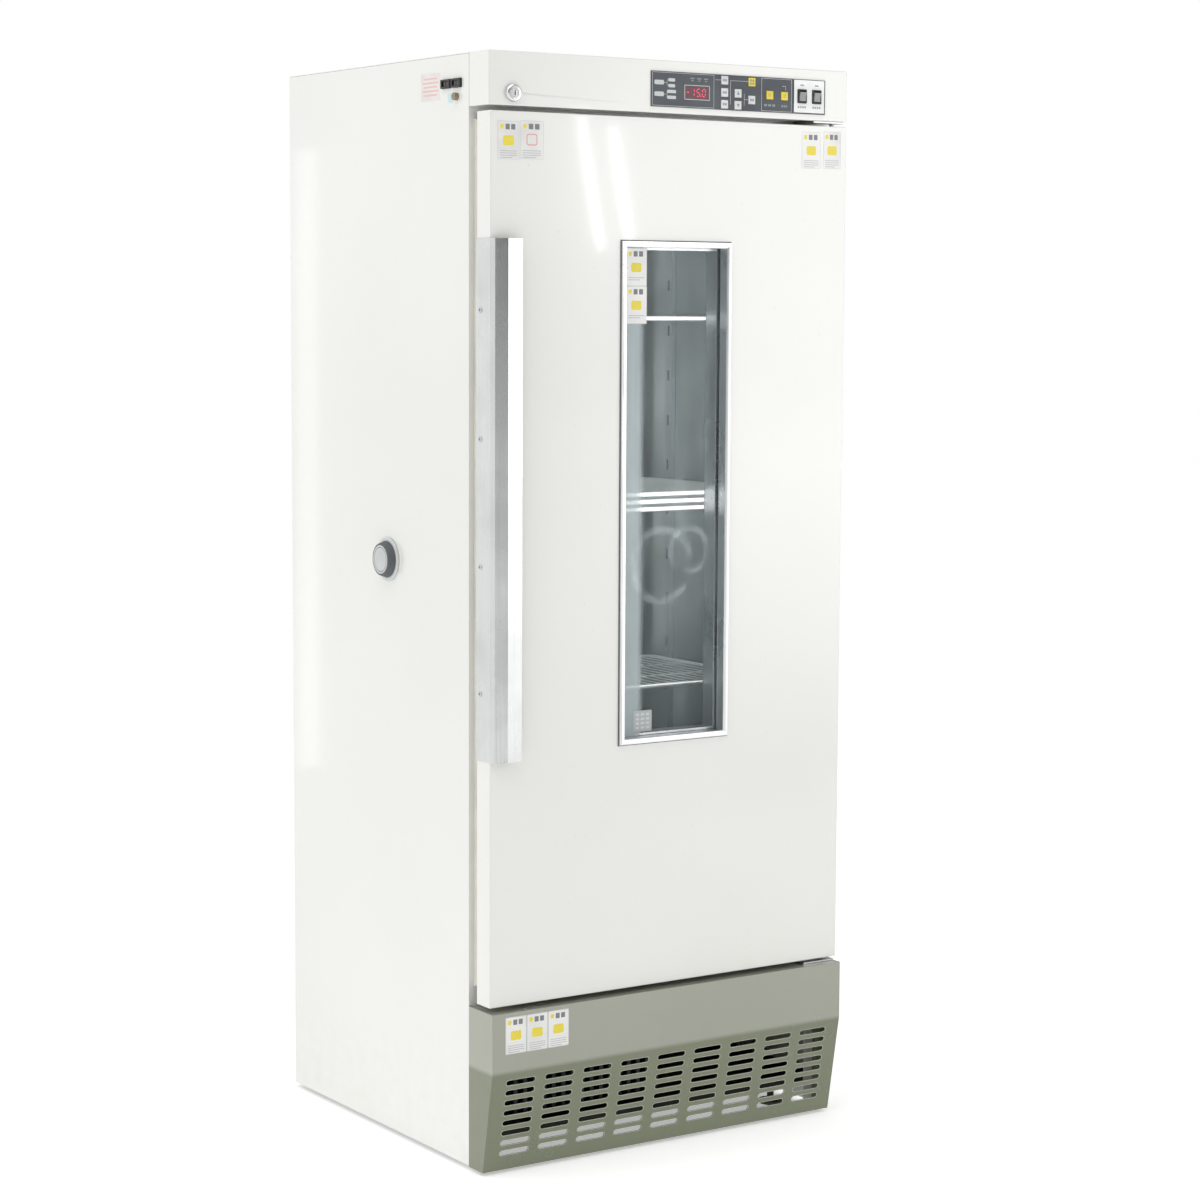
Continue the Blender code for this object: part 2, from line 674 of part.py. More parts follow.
def air_circulation():
    """The duct cover on the chamber's back wall, its fan and what it hides."""
    duct_x = CHAMBER_WIDTH / 2 - DUCT_SIDE_GAP
    low = CHAMBER_BOTTOM + DUCT_END_GAP
    high = CHAMBER_TOP - DUCT_END_GAP
    back = CHAMBER_DEPTH - GAP
    cover = piece(
        "air_duct_cover",
        boxes(((-duct_x, DUCT_FRONT, low), (duct_x, back, high))),
        STAINLESS,
    )
    cut(cover, boxes((
        (-duct_x + LINER, DUCT_FRONT + LINER, low + LINER),
        (duct_x - LINER, back + CUT, high - LINER),
    )))
    through = (DUCT_FRONT - CUT, DUCT_FRONT + LINER + CUT)
    slots = []
    for row in range(DUCT_SLOT_ROWS):
        rise = DUCT_SLOT_MARGIN + row * DUCT_SLOT_PITCH_Z
        for column in range(DUCT_SLOT_COLUMNS):
            x = (column - (DUCT_SLOT_COLUMNS - 1) / 2) * DUCT_SLOT_PITCH_X
            for z in (low + rise, high - rise):
                slots.append(window_in(x, z, DUCT_SLOT_LENGTH, DUCT_SLOT_HEIGHT, 0.0, through))
    cut(cover, boxes(*slots))
    for inner, outer in FAN_OPENINGS:
        sectors = []
        for quarter in range(4):
            start = math.pi / 2 * quarter + FAN_OPENING_BAR
            turn = math.pi / 2 - 2 * FAN_OPENING_BAR
            arc = [start + turn * i / 5 for i in range(6)]
            outline = [(outer * math.sin(a), FAN_Z + outer * math.cos(a)) for a in arc]
            outline += [(inner * math.sin(a), FAN_Z + inner * math.cos(a)) for a in reversed(arc)]
            sectors.append(prism(outline, "Y", *through))
        cut(cover, together(*sectors))

    comb = comb_outline(-EVAPORATOR_WIDTH / 2, EVAPORATOR_WIDTH, EVAPORATOR_FINS)
    fins_back = CHAMBER_DEPTH - EVAPORATOR_GAP
    outline = [(x, fins_back - depth * EVAPORATOR_DEPTH) for x, depth in comb]
    coil = piece("evaporator", prism(outline, "Z", EVAPORATOR_BOTTOM, EVAPORATOR_TOP), ALUMINIUM)
    brackets = []
    for x in (-BRACKET_X - BRACKET_SIZE, BRACKET_X):
        for z in (EVAPORATOR_BOTTOM + BRACKET_END, EVAPORATOR_TOP - BRACKET_END - BRACKET_SIZE):
            brackets.append(((x, fins_back - BRACKET_LAP, z), (x + BRACKET_SIZE, back, z + BRACKET_SIZE)))
    join(coil, boxes(*brackets))

    hub_back = FAN_FRONT + FAN_THICKNESS
    motor_front = CHAMBER_DEPTH + LINER + GAP
    motor_back = DEPTH - SHEET - GAP
    profile = [
        (0.0, hub_back - SHAFT_ENGAGEMENT), (FAN_SHAFT_RADIUS, hub_back - SHAFT_ENGAGEMENT),
        (FAN_SHAFT_RADIUS, motor_front),
        (FAN_MOTOR_RADIUS, motor_front), (FAN_MOTOR_RADIUS, motor_back - MOTOR_CHAMFER),
        (FAN_MOTOR_RADIUS - MOTOR_CHAMFER, motor_back), (0.0, motor_back),
    ]
    piece("chamber_fan_motor", turned(profile, (0, 0, FAN_Z), "Y", 24), STEEL, smooth=True)
    axis = pivot("chamber_fan_axis", (0, FAN_FRONT, FAN_Z))
    fan("chamber_fan", axis, FAN_RADIUS - FAN_TIP_GAP, FAN_FRONT, FAN_THICKNESS)


def comb_outline(start, width, fins):
    """Corners of a finned block: pairs of (place along it, share of its depth)."""
    pitch = width / fins
    points = [(start, 0.0)]
    for i in range(fins):
        at = start + i * pitch
        points += [(at, 1.0), (at + pitch * FIN_THICKNESS, 1.0)]
        if i < fins - 1:
            points += [(at + pitch * FIN_THICKNESS, FIN_ROOT), (at + pitch, FIN_ROOT)]
    points.append((start + pitch * (fins - 1 + FIN_THICKNESS), 0.0))
    return points


def fan(name, axis, radius, front, thickness):
    """A hub with five pitched blades, turning about Y; its bore takes the motor's shaft."""
    x, _, z = axis.location
    hub = radius * 0.28
    bore = FAN_SHAFT_RADIUS + GAP
    bore_end = front + thickness - SHAFT_ENGAGEMENT - CUT
    profile = [
        (0.0, front), (hub, front), (hub, front + thickness), (bore, front + thickness),
        (bore, bore_end), (0.0, bore_end),
    ]
    wheel = piece(name, turned(profile, (x, 0, z), "Y", 20), DARK_PLASTIC, axis, smooth=True)
    blades = []
    for i in range(5):
        blade = boxes(((-0.30 * radius, -0.0008, hub * 0.6), (0.30 * radius, 0.0008, radius)))
        pitch = Matrix.Rotation(math.radians(24), 4, "Z")
        spin = Matrix.Rotation(2 * math.pi * i / 5, 4, "Y")
        middle = Matrix.Translation((x, front + thickness / 2, z))
        blades.append(placed(blade, middle @ spin @ pitch))
    join(wheel, blades[0])
    for blade in blades[1:]:
        join(wheel, blade)


def shelf_ladder(name, side):
    """Two slotted posts on a side wall with the rails that carry the shelves."""
    wall = side * (CHAMBER_WIDTH / 2 - GAP)
    face = wall - side * POST_DEPTH
    low = CHAMBER_BOTTOM + POST_END_GAP
    high = CHAMBER_TOP - POST_END_GAP
    front_y = SHELF_FRONT + POST_INSET
    back_y = SHELF_FRONT + SHELF_DEPTH - POST_INSET - POST_WIDTH
    xs = sorted((wall, face))
    ladder = piece(
        name,
        boxes(((xs[0], front_y, low), (xs[1], front_y + POST_WIDTH, high))),
        STAINLESS,
    )
    join(ladder, boxes(((xs[0], back_y, low), (xs[1], back_y + POST_WIDTH, high))))
    inner = sorted((wall - side * RAIL_END_GAP, wall - side * RAIL_WIDTH))
    for level in SHELF_LEVELS:
        join(ladder, boxes((
            (inner[0], front_y + RAIL_END_GAP, level - RAIL_THICKNESS),
            (inner[1], back_y + POST_WIDTH - RAIL_END_GAP, level),
        )))
    slots = []
    ends = sorted((face - side * CUT, face + side * POST_DEPTH / 2))
    edge = (POST_WIDTH - POST_SLOT_WIDTH) / 2
    pitch = (high - low) / (POST_SLOTS + 1)
    for i in range(POST_SLOTS):
        z = low + pitch * (i + 1)
        if min(abs(z - level) for level in SHELF_LEVELS) < POST_SLOT_CLEAR:
            continue
        for y in (front_y + edge, back_y + edge):
            slots.append((
                (ends[0], y, z - POST_SLOT_HEIGHT / 2),
                (ends[1], y + POST_SLOT_WIDTH, z + POST_SLOT_HEIGHT / 2),
            ))
    cut(ladder, boxes(*slots))


def shelf(name, level):
    """A shelf as one pierced plate, resting on its rails or on the shelf below."""
    half = CHAMBER_WIDTH / 2 - SHELF_SIDE_GAP
    bottom = level + GAP
    axis = pivot(f"{name}_slide", (0, SHELF_FRONT, bottom))
    plate = piece(
        name,
        boxes(((-half, SHELF_FRONT, bottom), (half, SHELF_FRONT + SHELF_DEPTH, bottom + SHELF_THICKNESS))),
        STAINLESS,
        axis,
    )
    front = SHELF_FRONT + SHELF_RIM
    back = SHELF_FRONT + SHELF_DEPTH - SHELF_RIM
    pitch = (2 * half - SHELF_RIM) / SHELF_SLOTS
    slots = []
    for i in range(SHELF_SLOTS):
        x = -half + SHELF_RIM + i * pitch
        top = bottom + SHELF_THICKNESS + CUT
        slots.append(((x, front, bottom - CUT), (x + pitch - SHELF_RIM, back, top)))
    cut(plate, boxes(*slots))


def shelves():
    shelf_ladder("shelf_ladder_left", -1)
    shelf_ladder("shelf_ladder_right", 1)
    shelf("shelf_lower", SHELF_LEVELS[0])
    for i in range(STACKED_SHELVES):
        shelf(f"shelf_middle_{i + 1}", SHELF_LEVELS[STACKED_LEVEL] + i * SHELF_PITCH)
    shelf("shelf_upper", SHELF_LEVELS[-1])


# Header

def header():
    front = -HEADER_REACH
    cover = piece(
        "header_cover",
        boxes(((LEFT, front, HEADER_BOTTOM), (RIGHT, -GAP, HEIGHT))),
        PAINT,
    )
    cut(cover, boxes((
        (LEFT + SHEET, front + SHEET, HEADER_BOTTOM + SHEET),
        (RIGHT - SHEET, CUT, HEIGHT - SHEET),
    )))
    through = (front - CUT, front + SHEET + CUT)
    cut(cover, boxes((
        (PANEL_LEFT + PANEL_LAP_SIDE, through[0], PANEL_BOTTOM + PANEL_LAP_END),
        (PANEL_RIGHT - PANEL_LAP_SIDE, through[1], PANEL_TOP - PANEL_LAP_END),
    )))
    hole = LOCK_BARREL_RADIUS + LOCK_CLEARANCE
    profile = [(0.0, through[0]), (hole, through[0]), (hole, through[1]), (0.0, through[1])]
    cut(cover, turned(profile, (LOCK_X, 0, LOCK_Z), "Y", 24))
    cam_front = -HEADER_REACH + LOCK_LENGTH - CAM_THICKNESS
    cut(cover, boxes((
        (LOCK_X - CAM_WIDTH / 2 - CAM_ROOM, cam_front - CAM_ROOM, HEADER_BOTTOM - CUT),
        (LOCK_X + CAM_LENGTH, cam_front + CAM_THICKNESS + CAM_ROOM, HEADER_BOTTOM + SHEET + CUT),
    )))
    cut(cover, boxes((
        (HINGE_X - HINGE_PLATE_WIDTH, -HINGE_PLATE - CUT, HEADER_BOTTOM - CUT),
        (RIGHT - SHEET - GAP, CUT, HEADER_BOTTOM + SHEET + CUT),
    )))

    panel = piece(
        "control_panel",
        boxes((
            (PANEL_LEFT, PANEL_FACE, PANEL_BOTTOM),
            (PANEL_RIGHT, PANEL_FACE + PANEL_THICKNESS, PANEL_TOP),
        )),
        OVERLAY,
    )
    through = (PANEL_FACE - CUT, PANEL_FACE + PANEL_THICKNESS + CUT)
    openings = []
    for right, up in KEYS.values():
        at = PANEL_LEFT + right, PANEL_BOTTOM + up
        openings.append(window_in(*at, KEY_SIZE, KEY_SIZE, KEY_CLEARANCE, through))
    openings.append(window_in(DISPLAY_X, DISPLAY_Z, DISPLAY_WIDTH, DISPLAY_HEIGHT, GAP, through))
    bezel_width = ROCKER_WIDTH + 2 * (ROCKER_CLEARANCE + SWITCH_WALL)
    bezel_height = 2 * (ROCKER_HALF_HEIGHT + SWITCH_END_ROOM + SWITCH_WALL)
    for x in ROCKERS.values():
        openings.append(window_in(x, SWITCH_PLATE_Z, bezel_width, bezel_height, GAP, through))
    cut(panel, boxes(*openings))

    module_front = PANEL_FACE + GAP
    half_x = DISPLAY_WIDTH / 2
    half_z = DISPLAY_HEIGHT / 2
    piece(
        "display_module",
        boxes((
            (DISPLAY_X - half_x, module_front, DISPLAY_Z - half_z),
            (DISPLAY_X + half_x, module_front + DISPLAY_DEPTH, DISPLAY_Z + half_z),
        )),
        DARK_PLASTIC,
    )

    plate_back = PANEL_FACE - GAP
    plate = piece(
        "switch_plate",
        boxes((
            (SWITCH_PLATE_X - SWITCH_PLATE_WIDTH / 2, plate_back - SWITCH_PLATE_THICKNESS,
             SWITCH_PLATE_Z - SWITCH_PLATE_HEIGHT / 2),
            (SWITCH_PLATE_X + SWITCH_PLATE_WIDTH / 2, plate_back,
             SWITCH_PLATE_Z + SWITCH_PLATE_HEIGHT / 2),
        )),
        WHITE_PLASTIC,
    )
    through = (plate_back - SWITCH_PLATE_THICKNESS - CUT, plate_back + CUT)
    cut(plate, boxes(*[
        window_in(x, SWITCH_PLATE_Z, bezel_width, bezel_height, GAP, through) for x in ROCKERS.values()
    ]))

    block_front = plate_back - SWITCH_PLATE_THICKNESS - SWITCH_PROUD
    base_front = -HEADER_REACH + SHEET + PANEL_THICKNESS
    xs = sorted(ROCKERS.values())
    block = piece(
        "switch_block",
        boxes((
            (xs[0] - bezel_width / 2, base_front, SWITCH_PLATE_Z - bezel_height / 2),
            (xs[-1] + bezel_width / 2, base_front + SWITCH_DEPTH, SWITCH_PLATE_Z + bezel_height / 2),
        )),
        BLACK_PLASTIC,
    )
    collar = (block_front, base_front + CUT)
    for x in xs:
        join(block, boxes(window_in(x, SWITCH_PLATE_Z, bezel_width, bezel_height, 0.0, collar)))
    pocket = (block_front - CUT, base_front + SWITCH_DEPTH - SWITCH_WALL)
    pocket_height = 2 * (ROCKER_HALF_HEIGHT + SWITCH_END_ROOM)
    cut(block, boxes(*[
        window_in(x, SWITCH_PLATE_Z, ROCKER_WIDTH, pocket_height, ROCKER_CLEARANCE, pocket)
        for x in xs
    ]))
    for name, x in ROCKERS.items():
        rocker(name, x, block_front)

    for name, (right, up) in KEYS.items():
        key(name, PANEL_LEFT + right, PANEL_BOTTOM + up)


def window_in(x, z, width, height, clearance, through):
    """Corners of an upright cutter around x, z with a clearance on every side."""
    half_x = width / 2 + clearance
    half_z = height / 2 + clearance
    return (x - half_x, through[0], z - half_z), (x + half_x, through[1], z + half_z)


def key(name, x, z):
    """A square key with flanges left and right behind the panel that keep it in."""
    front = PANEL_FACE - KEY_PROUD
    flange_front = PANEL_FACE + PANEL_THICKNESS + GAP
    axis = pivot(f"{name}_travel", (x, front, z))
    look_of_key = YELLOW_PLASTIC if name in YELLOW_KEYS else WHITE_PLASTIC
    half = KEY_SIZE / 2
    cap = piece(
        name,
        boxes(((x - half, front, z - half), (x + half, front + KEY_LENGTH, z + half))),
        look_of_key,
        axis,
    )
    wide = half + KEY_FLANGE
    high = half * 0.9
    join(cap, boxes(((x - wide, flange_front, z - high), (x + wide, flange_front + KEY_FLANGE, z + high))))


def rocker(name, x, block_front):
    """A rocker that turns about X and rests with its upper end out."""
    axis_y = block_front + ROCKER_HALF_HEIGHT * ROCKER_PIVOT
    axis = pivot(f"{name}_axis", (x, axis_y, SWITCH_PLATE_Z))
    outline = []
    for i in range(9):
        angle = math.pi * i / 8
        outline.append((ROCKER_HALF_HEIGHT * math.sin(angle), ROCKER_HALF_HEIGHT * math.cos(angle)))
    outline += [
        (-ROCKER_HALF_HEIGHT * ROCKER_BACK, -ROCKER_HALF_HEIGHT),
        (-ROCKER_HALF_HEIGHT * ROCKER_WAIST, 0.0),
        (-ROCKER_HALF_HEIGHT * ROCKER_BACK, ROCKER_HALF_HEIGHT),
    ]
    body = prism(outline, "X", -ROCKER_WIDTH / 2, ROCKER_WIDTH / 2)
    tilt = Matrix.Rotation(math.radians(ROCKER_TILT), 4, "X")
    placed(body, Matrix.Translation((x, axis_y, SWITCH_PLATE_Z)) @ tilt)
    piece(name, body, BLACK_PLASTIC, axis)


def door_lock():
    back = -HEADER_REACH + LOCK_LENGTH
    face = -HEADER_REACH - GAP
    bore = LOCK_PLUG_RADIUS + LOCK_CLEARANCE
    profile = [
        (bore, back - CAM_THICKNESS - GAP), (LOCK_BARREL_RADIUS, back - CAM_THICKNESS - GAP),
        (LOCK_BARREL_RADIUS, face), (LOCK_RING_RADIUS, face), (LOCK_RING_RADIUS, face - LOCK_PROUD * 0.4),
        (LOCK_RING_RADIUS * 0.9, face - LOCK_PROUD * 0.85), (LOCK_RING_RADIUS * 0.75, face - LOCK_PROUD),
        (bore, face - LOCK_PROUD),
    ]
    piece("lock_barrel", turned(profile, (LOCK_X, 0, LOCK_Z), "Y", 28, ring=True), CHROME, smooth=True)
    axis = pivot("lock_axis", (LOCK_X, face, LOCK_Z))
    front = face - LOCK_PROUD + GAP
    profile = [
        (0.0, front), (LOCK_PLUG_RADIUS, front), (LOCK_PLUG_RADIUS, back - CAM_THICKNESS / 2),
        (0.0, back - CAM_THICKNESS / 2),
    ]
    plug = piece("lock_plug", turned(profile, (LOCK_X, 0, LOCK_Z), "Y", 24), CHROME, axis, smooth=True)
    join(plug, boxes((
        (LOCK_X - CAM_WIDTH / 2, back - CAM_THICKNESS, LOCK_Z - CAM_WIDTH / 2),
        (LOCK_X + CAM_LENGTH, back, LOCK_Z + CAM_WIDTH / 2),
    )))
    cut(plug, boxes((
        (LOCK_X - KEYWAY_WIDTH / 2, front - CUT, LOCK_Z - KEYWAY_HEIGHT / 2),
        (LOCK_X + KEYWAY_WIDTH / 2, front + KEYWAY_DEPTH, LOCK_Z + KEYWAY_HEIGHT / 2),
    )))


# Door and its hinges

def hinges():
    """Flat plates in the gaps above and below the door, each with its pin."""
    left = HINGE_X - HINGE_PLATE_WIDTH + GAP + CUT
    right = RIGHT - SHEET - 4 * GAP
    front = -DOOR_FRONT + HINGE_FRONT_INSET
    leg_back = -GAP
    upper_top = HEADER_BOTTOM - GAP
    upper_low = upper_top - HINGE_PLATE
    upper = piece("hinge_upper", boxes(((left, front, upper_low), (right, leg_back, upper_top))), STEEL)
    join(upper, boxes((
        (left, leg_back - HINGE_PLATE, upper_top - HINGE_PLATE / 2),
        (right, leg_back, HEADER_BOTTOM + HINGE_LEG),
    )))
    pin_low = DOOR_TOP - PIN_ENGAGEMENT
    pin = [(0.0, pin_low), (PIN_RADIUS, pin_low), (PIN_RADIUS, upper_low + HINGE_PLATE / 2)]
    pin.append((0.0, upper_low + HINGE_PLATE / 2))
    join(upper, turned(pin, (HINGE_X, HINGE_Y, 0), "Z", 16))

    lower_low = COVER_TOP + GAP
    lower_top = lower_low + HINGE_PLATE
    lower = piece("hinge_lower", boxes(((left, front, lower_low), (right, leg_back, lower_top))), STEEL)
    join(lower, boxes((
        (left, leg_back - HINGE_PLATE, COVER_TOP - HINGE_LEG),
        (right, leg_back, lower_top - HINGE_PLATE / 2),
    )))
    collar_top = DOOR_BOTTOM - GAP
    pin = [
        (0.0, lower_top - HINGE_PLATE / 2), (HINGE_COLLAR_RADIUS, lower_top - HINGE_PLATE / 2),
        (HINGE_COLLAR_RADIUS, collar_top), (PIN_RADIUS, collar_top),
        (PIN_RADIUS, DOOR_BOTTOM + PIN_ENGAGEMENT), (0.0, DOOR_BOTTOM + PIN_ENGAGEMENT),
    ]
    join(lower, turned(pin, (HINGE_X, HINGE_Y, 0), "Z", 16))


def door():
    axis = pivot("door_hinge_axis", (HINGE_X, HINGE_Y, 0))
    front = -DOOR_FRONT
    sleeve = GLASS_LEFT - TRIM_SLEEVE - GAP, GLASS_RIGHT + TRIM_SLEEVE + GAP
    sleeve_z = GLASS_BOTTOM - TRIM_SLEEVE - GAP, GLASS_TOP + TRIM_SLEEVE + GAP

    shell = piece(
        "door_outer_panel",
        boxes(((DOOR_LEFT, front, DOOR_BOTTOM), (DOOR_RIGHT, DOOR_BACK, DOOR_TOP))),
        PAINT,
        axis,
    )
    cut(shell, boxes((
        (DOOR_LEFT + SHEET, front + SHEET, DOOR_BOTTOM + SHEET),
        (DOOR_RIGHT - SHEET, DOOR_BACK + CUT, DOOR_TOP - SHEET),
    )))
    cut(shell, boxes(((sleeve[0], front - CUT, sleeve_z[0]), (sleeve[1], front + SHEET + CUT, sleeve_z[1]))))
    hole = PIN_RADIUS + PIN_CLEARANCE
    for edge in (DOOR_BOTTOM + SHEET / 2, DOOR_TOP - SHEET / 2):
        low = edge - SHEET / 2 - CUT
        high = edge + SHEET / 2 + CUT
        profile = [(0.0, low), (hole, low), (hole, high), (0.0, high)]
        cut(shell, turned(profile, (HINGE_X, HINGE_Y, 0), "Z", 16))
    cam_front = -HEADER_REACH + LOCK_LENGTH - CAM_THICKNESS
    cut(shell, boxes((
        (LOCK_X - CAM_WIDTH / 2 - CAM_ROOM, cam_front - CAM_ROOM, DOOR_TOP - SHEET - CUT),
        (LOCK_X + CAM_LENGTH, cam_front + CAM_THICKNESS + CAM_ROOM, DOOR_TOP + CUT),
    )))

    plinth_left = DOOR_LEFT + PLINTH_SIDE
    plinth_right = DOOR_RIGHT - PLINTH_HINGE_SIDE
    plinth_bottom = DOOR_BOTTOM + PLINTH_BOTTOM
    plinth_top = DOOR_TOP - PLINTH_TOP
    plinth_back = -GAP - GASKET_THICKNESS + GASKET_SEAT
    inner = piece(
        "door_inner_panel",
        boxes((
            (DOOR_LEFT + SHEET + GAP, DOOR_BACK - PLINTH_WALL, DOOR_BOTTOM + SHEET + GAP),
            (DOOR_RIGHT - SHEET - GAP, DOOR_BACK, DOOR_TOP - SHEET - GAP),
        )),
        WHITE_PLASTIC,
        axis,
    )
    join(inner, boxes((
        (plinth_left, DOOR_BACK - PLINTH_WALL / 2, plinth_bottom),
        (plinth_right, plinth_back, plinth_top),
    )))
    cut(inner, boxes((
        (plinth_left + PLINTH_WALL, DOOR_BACK - PLINTH_WALL - CUT, plinth_bottom + PLINTH_WALL),
        (plinth_right - PLINTH_WALL, plinth_back - PLINTH_WALL, plinth_top - PLINTH_WALL),
    )))
    cut(inner, boxes((
        (GLASS_LEFT, DOOR_BACK - PLINTH_WALL - CUT, GLASS_BOTTOM),
        (GLASS_RIGHT, plinth_back + CUT, GLASS_TOP),
    )))

    gasket_front = plinth_back - GASKET_SEAT
    margin = GASKET_WIDTH + GAP
    cut(inner, frame_mesh(
        (plinth_left - GAP, plinth_bottom - GAP, plinth_right + GAP, plinth_top + GAP),
        (plinth_left + margin, plinth_bottom + margin, plinth_right - margin, plinth_top - margin),
        gasket_front - GAP, plinth_back + CUT,
    ))
    gasket = piece(
        "door_gasket",
        boxes(((plinth_left, gasket_front, plinth_bottom), (plinth_right, -GAP, plinth_top))),
        RUBBER,
        axis,
    )
    cut(gasket, boxes((
        (plinth_left + GASKET_WIDTH, gasket_front - CUT, plinth_bottom + GASKET_WIDTH),
        (plinth_right - GASKET_WIDTH, CUT, plinth_top - GASKET_WIDTH),
    )))

    trim_front = front - GAP - TRIM_PROUD
    trim = piece(
        "window_trim",
        boxes(((WINDOW_LEFT, trim_front, WINDOW_BOTTOM), (WINDOW_RIGHT, front - GAP, WINDOW_TOP))),
        ALUMINIUM,
        axis,
    )
    sleeve_back = front + TRIM_DEPTH
    join(trim, boxes((
        (GLASS_LEFT - TRIM_SLEEVE, front - GAP - TRIM_PROUD / 2, GLASS_BOTTOM - TRIM_SLEEVE),
        (GLASS_RIGHT + TRIM_SLEEVE, sleeve_back, GLASS_TOP + TRIM_SLEEVE),
    )))
    cut(trim, boxes((
        (GLASS_LEFT, trim_front - CUT, GLASS_BOTTOM),
        (GLASS_RIGHT, sleeve_back + CUT, GLASS_TOP),
    )))
    outer_pane = sleeve_back + GAP
    inner_pane = plinth_back - PLINTH_WALL - GAP - PANE
    pane_x = GLASS_LEFT - PANE_LAP, GLASS_RIGHT + PANE_LAP
    pane_z = GLASS_BOTTOM - PANE_LAP, GLASS_TOP + PANE_LAP
    for name, y in (("window_pane_outer", outer_pane), ("window_pane_inner", inner_pane)):
        piece(name, boxes(((pane_x[0], y, pane_z[0]), (pane_x[1], y + PANE, pane_z[1]))), GLASS, axis)
    spacer_front = outer_pane + PANE + GAP
    spacer_back = inner_pane - GAP
    spacer = piece(
        "window_spacer",
        boxes(((pane_x[0], spacer_front, pane_z[0]), (pane_x[1], spacer_back, pane_z[1]))),
        ALUMINIUM,
        axis,
    )
    cut(spacer, boxes((
        (pane_x[0] + SPACER_WIDTH, spacer_front - CUT, pane_z[0] + SPACER_WIDTH),
        (pane_x[1] - SPACER_WIDTH, spacer_back + CUT, pane_z[1] - SPACER_WIDTH),
    )))

    ridge_y = front - HANDLE_REACH
    lip = LEFT + HANDLE_WIDTH
    lip_y = ridge_y + HANDLE_LIP_DROP
    ridge = LEFT + HANDLE_RIDGE
    plate = LEFT + DOOR_SIDE_GAP - GAP
    foot = LEFT + HANDLE_FOOT
    outline = [
        (LEFT, DOOR_BACK), (LEFT, front - HANDLE_CORNER_RISE),
        (LEFT + HANDLE_SHOULDER, front - HANDLE_SHOULDER_RISE), (ridge, ridge_y),
        (lip, lip_y), (lip, lip_y + HANDLE_WALL), (ridge, ridge_y + HANDLE_WALL * 1.1),
        (foot, front - HANDLE_RIB_RISE), (foot, front - GAP), (plate, front - GAP), (plate, DOOR_BACK),
    ]
    piece("door_handle", prism(outline, "Z", HANDLE_BOTTOM, HANDLE_TOP), ALUMINIUM, axis)


def frame_mesh(outside, opening, front, back):
    """A rectangular ring along Y; outside and opening are left, bottom, right and top."""
    mesh = bmesh.new()
    loops = []
    for y in (front, back):
        for left, low, right, high in (outside, opening):
            corners = ((left, y, low), (right, y, low), (right, y, high), (left, y, high))
            loops.append([mesh.verts.new(corner) for corner in corners])
    for first, second in ((0, 1), (2, 3), (0, 2), (1, 3)):
        for i in range(4):
            j = (i + 1) % 4
            mesh.faces.new((loops[first][i], loops[first][j], loops[second][j], loops[second][i]))
    bmesh.ops.recalc_face_normals(mesh, faces=mesh.faces[:])
    return mesh


# Lower front cover

def lower_cover():
    """A folded steel cover: upright above the bend, sloping back below it, open behind."""
    def side_outline(inset):
        slope = math.atan2(COVER_REACH - COVER_REACH_BOTTOM, COVER_BEND - COVER_BOTTOM)
        bend_drop = inset * math.tan(slope / 2)
        along = inset / math.cos(slope)
        back = -GAP if inset == 0 else CUT
        bottom = COVER_BOTTOM if inset == 0 else COVER_BOTTOM - CUT
        spill = (COVER_BOTTOM - bottom) * math.tan(slope)
        return [
            (back, COVER_TOP - inset),
            (-COVER_REACH + inset, COVER_TOP - inset),
            (-COVER_REACH + inset, COVER_BEND - bend_drop),
            (-COVER_REACH_BOTTOM + along + spill, bottom),
            (back, bottom),
        ]

    cover = piece("lower_front_cover", prism(side_outline(0.0), "X", LEFT, RIGHT), TAUPE)
    cut(cover, prism(side_outline(SHEET), "X", LEFT + SHEET, RIGHT - SHEET))
    slope = math.atan2(COVER_REACH - COVER_REACH_BOTTOM, COVER_BEND - COVER_BOTTOM)
    outline = obround(SLOT_LENGTH, SLOT_HEIGHT)
    slots = []
    for row in range(SLOT_ROWS):
        down = SLOT_FIRST + row * SLOT_PITCH
        for column in range(SLOT_COLUMNS):
            x = (column - (SLOT_COLUMNS - 1) / 2) * SLOT_PITCH_X
            slot = prism(outline, "Y", -CUT, SHEET + CUT)
            turn = Matrix.Rotation(slope, 4, "X")
            bend = Matrix.Translation((x, -COVER_REACH, COVER_BEND))
            slots.append(placed(slot, bend @ turn @ Matrix.Translation((0, 0, -down))))
    cut(cover, together(*slots))
    leg = HINGE_LEG + CUT
    cut(cover, boxes((
        (HINGE_X - HINGE_PLATE_WIDTH, -HINGE_PLATE - CUT, COVER_TOP - leg),
        (RIGHT - SHEET - GAP, CUT, COVER_TOP + CUT),
    )))


# Left side fittings and the power inlet

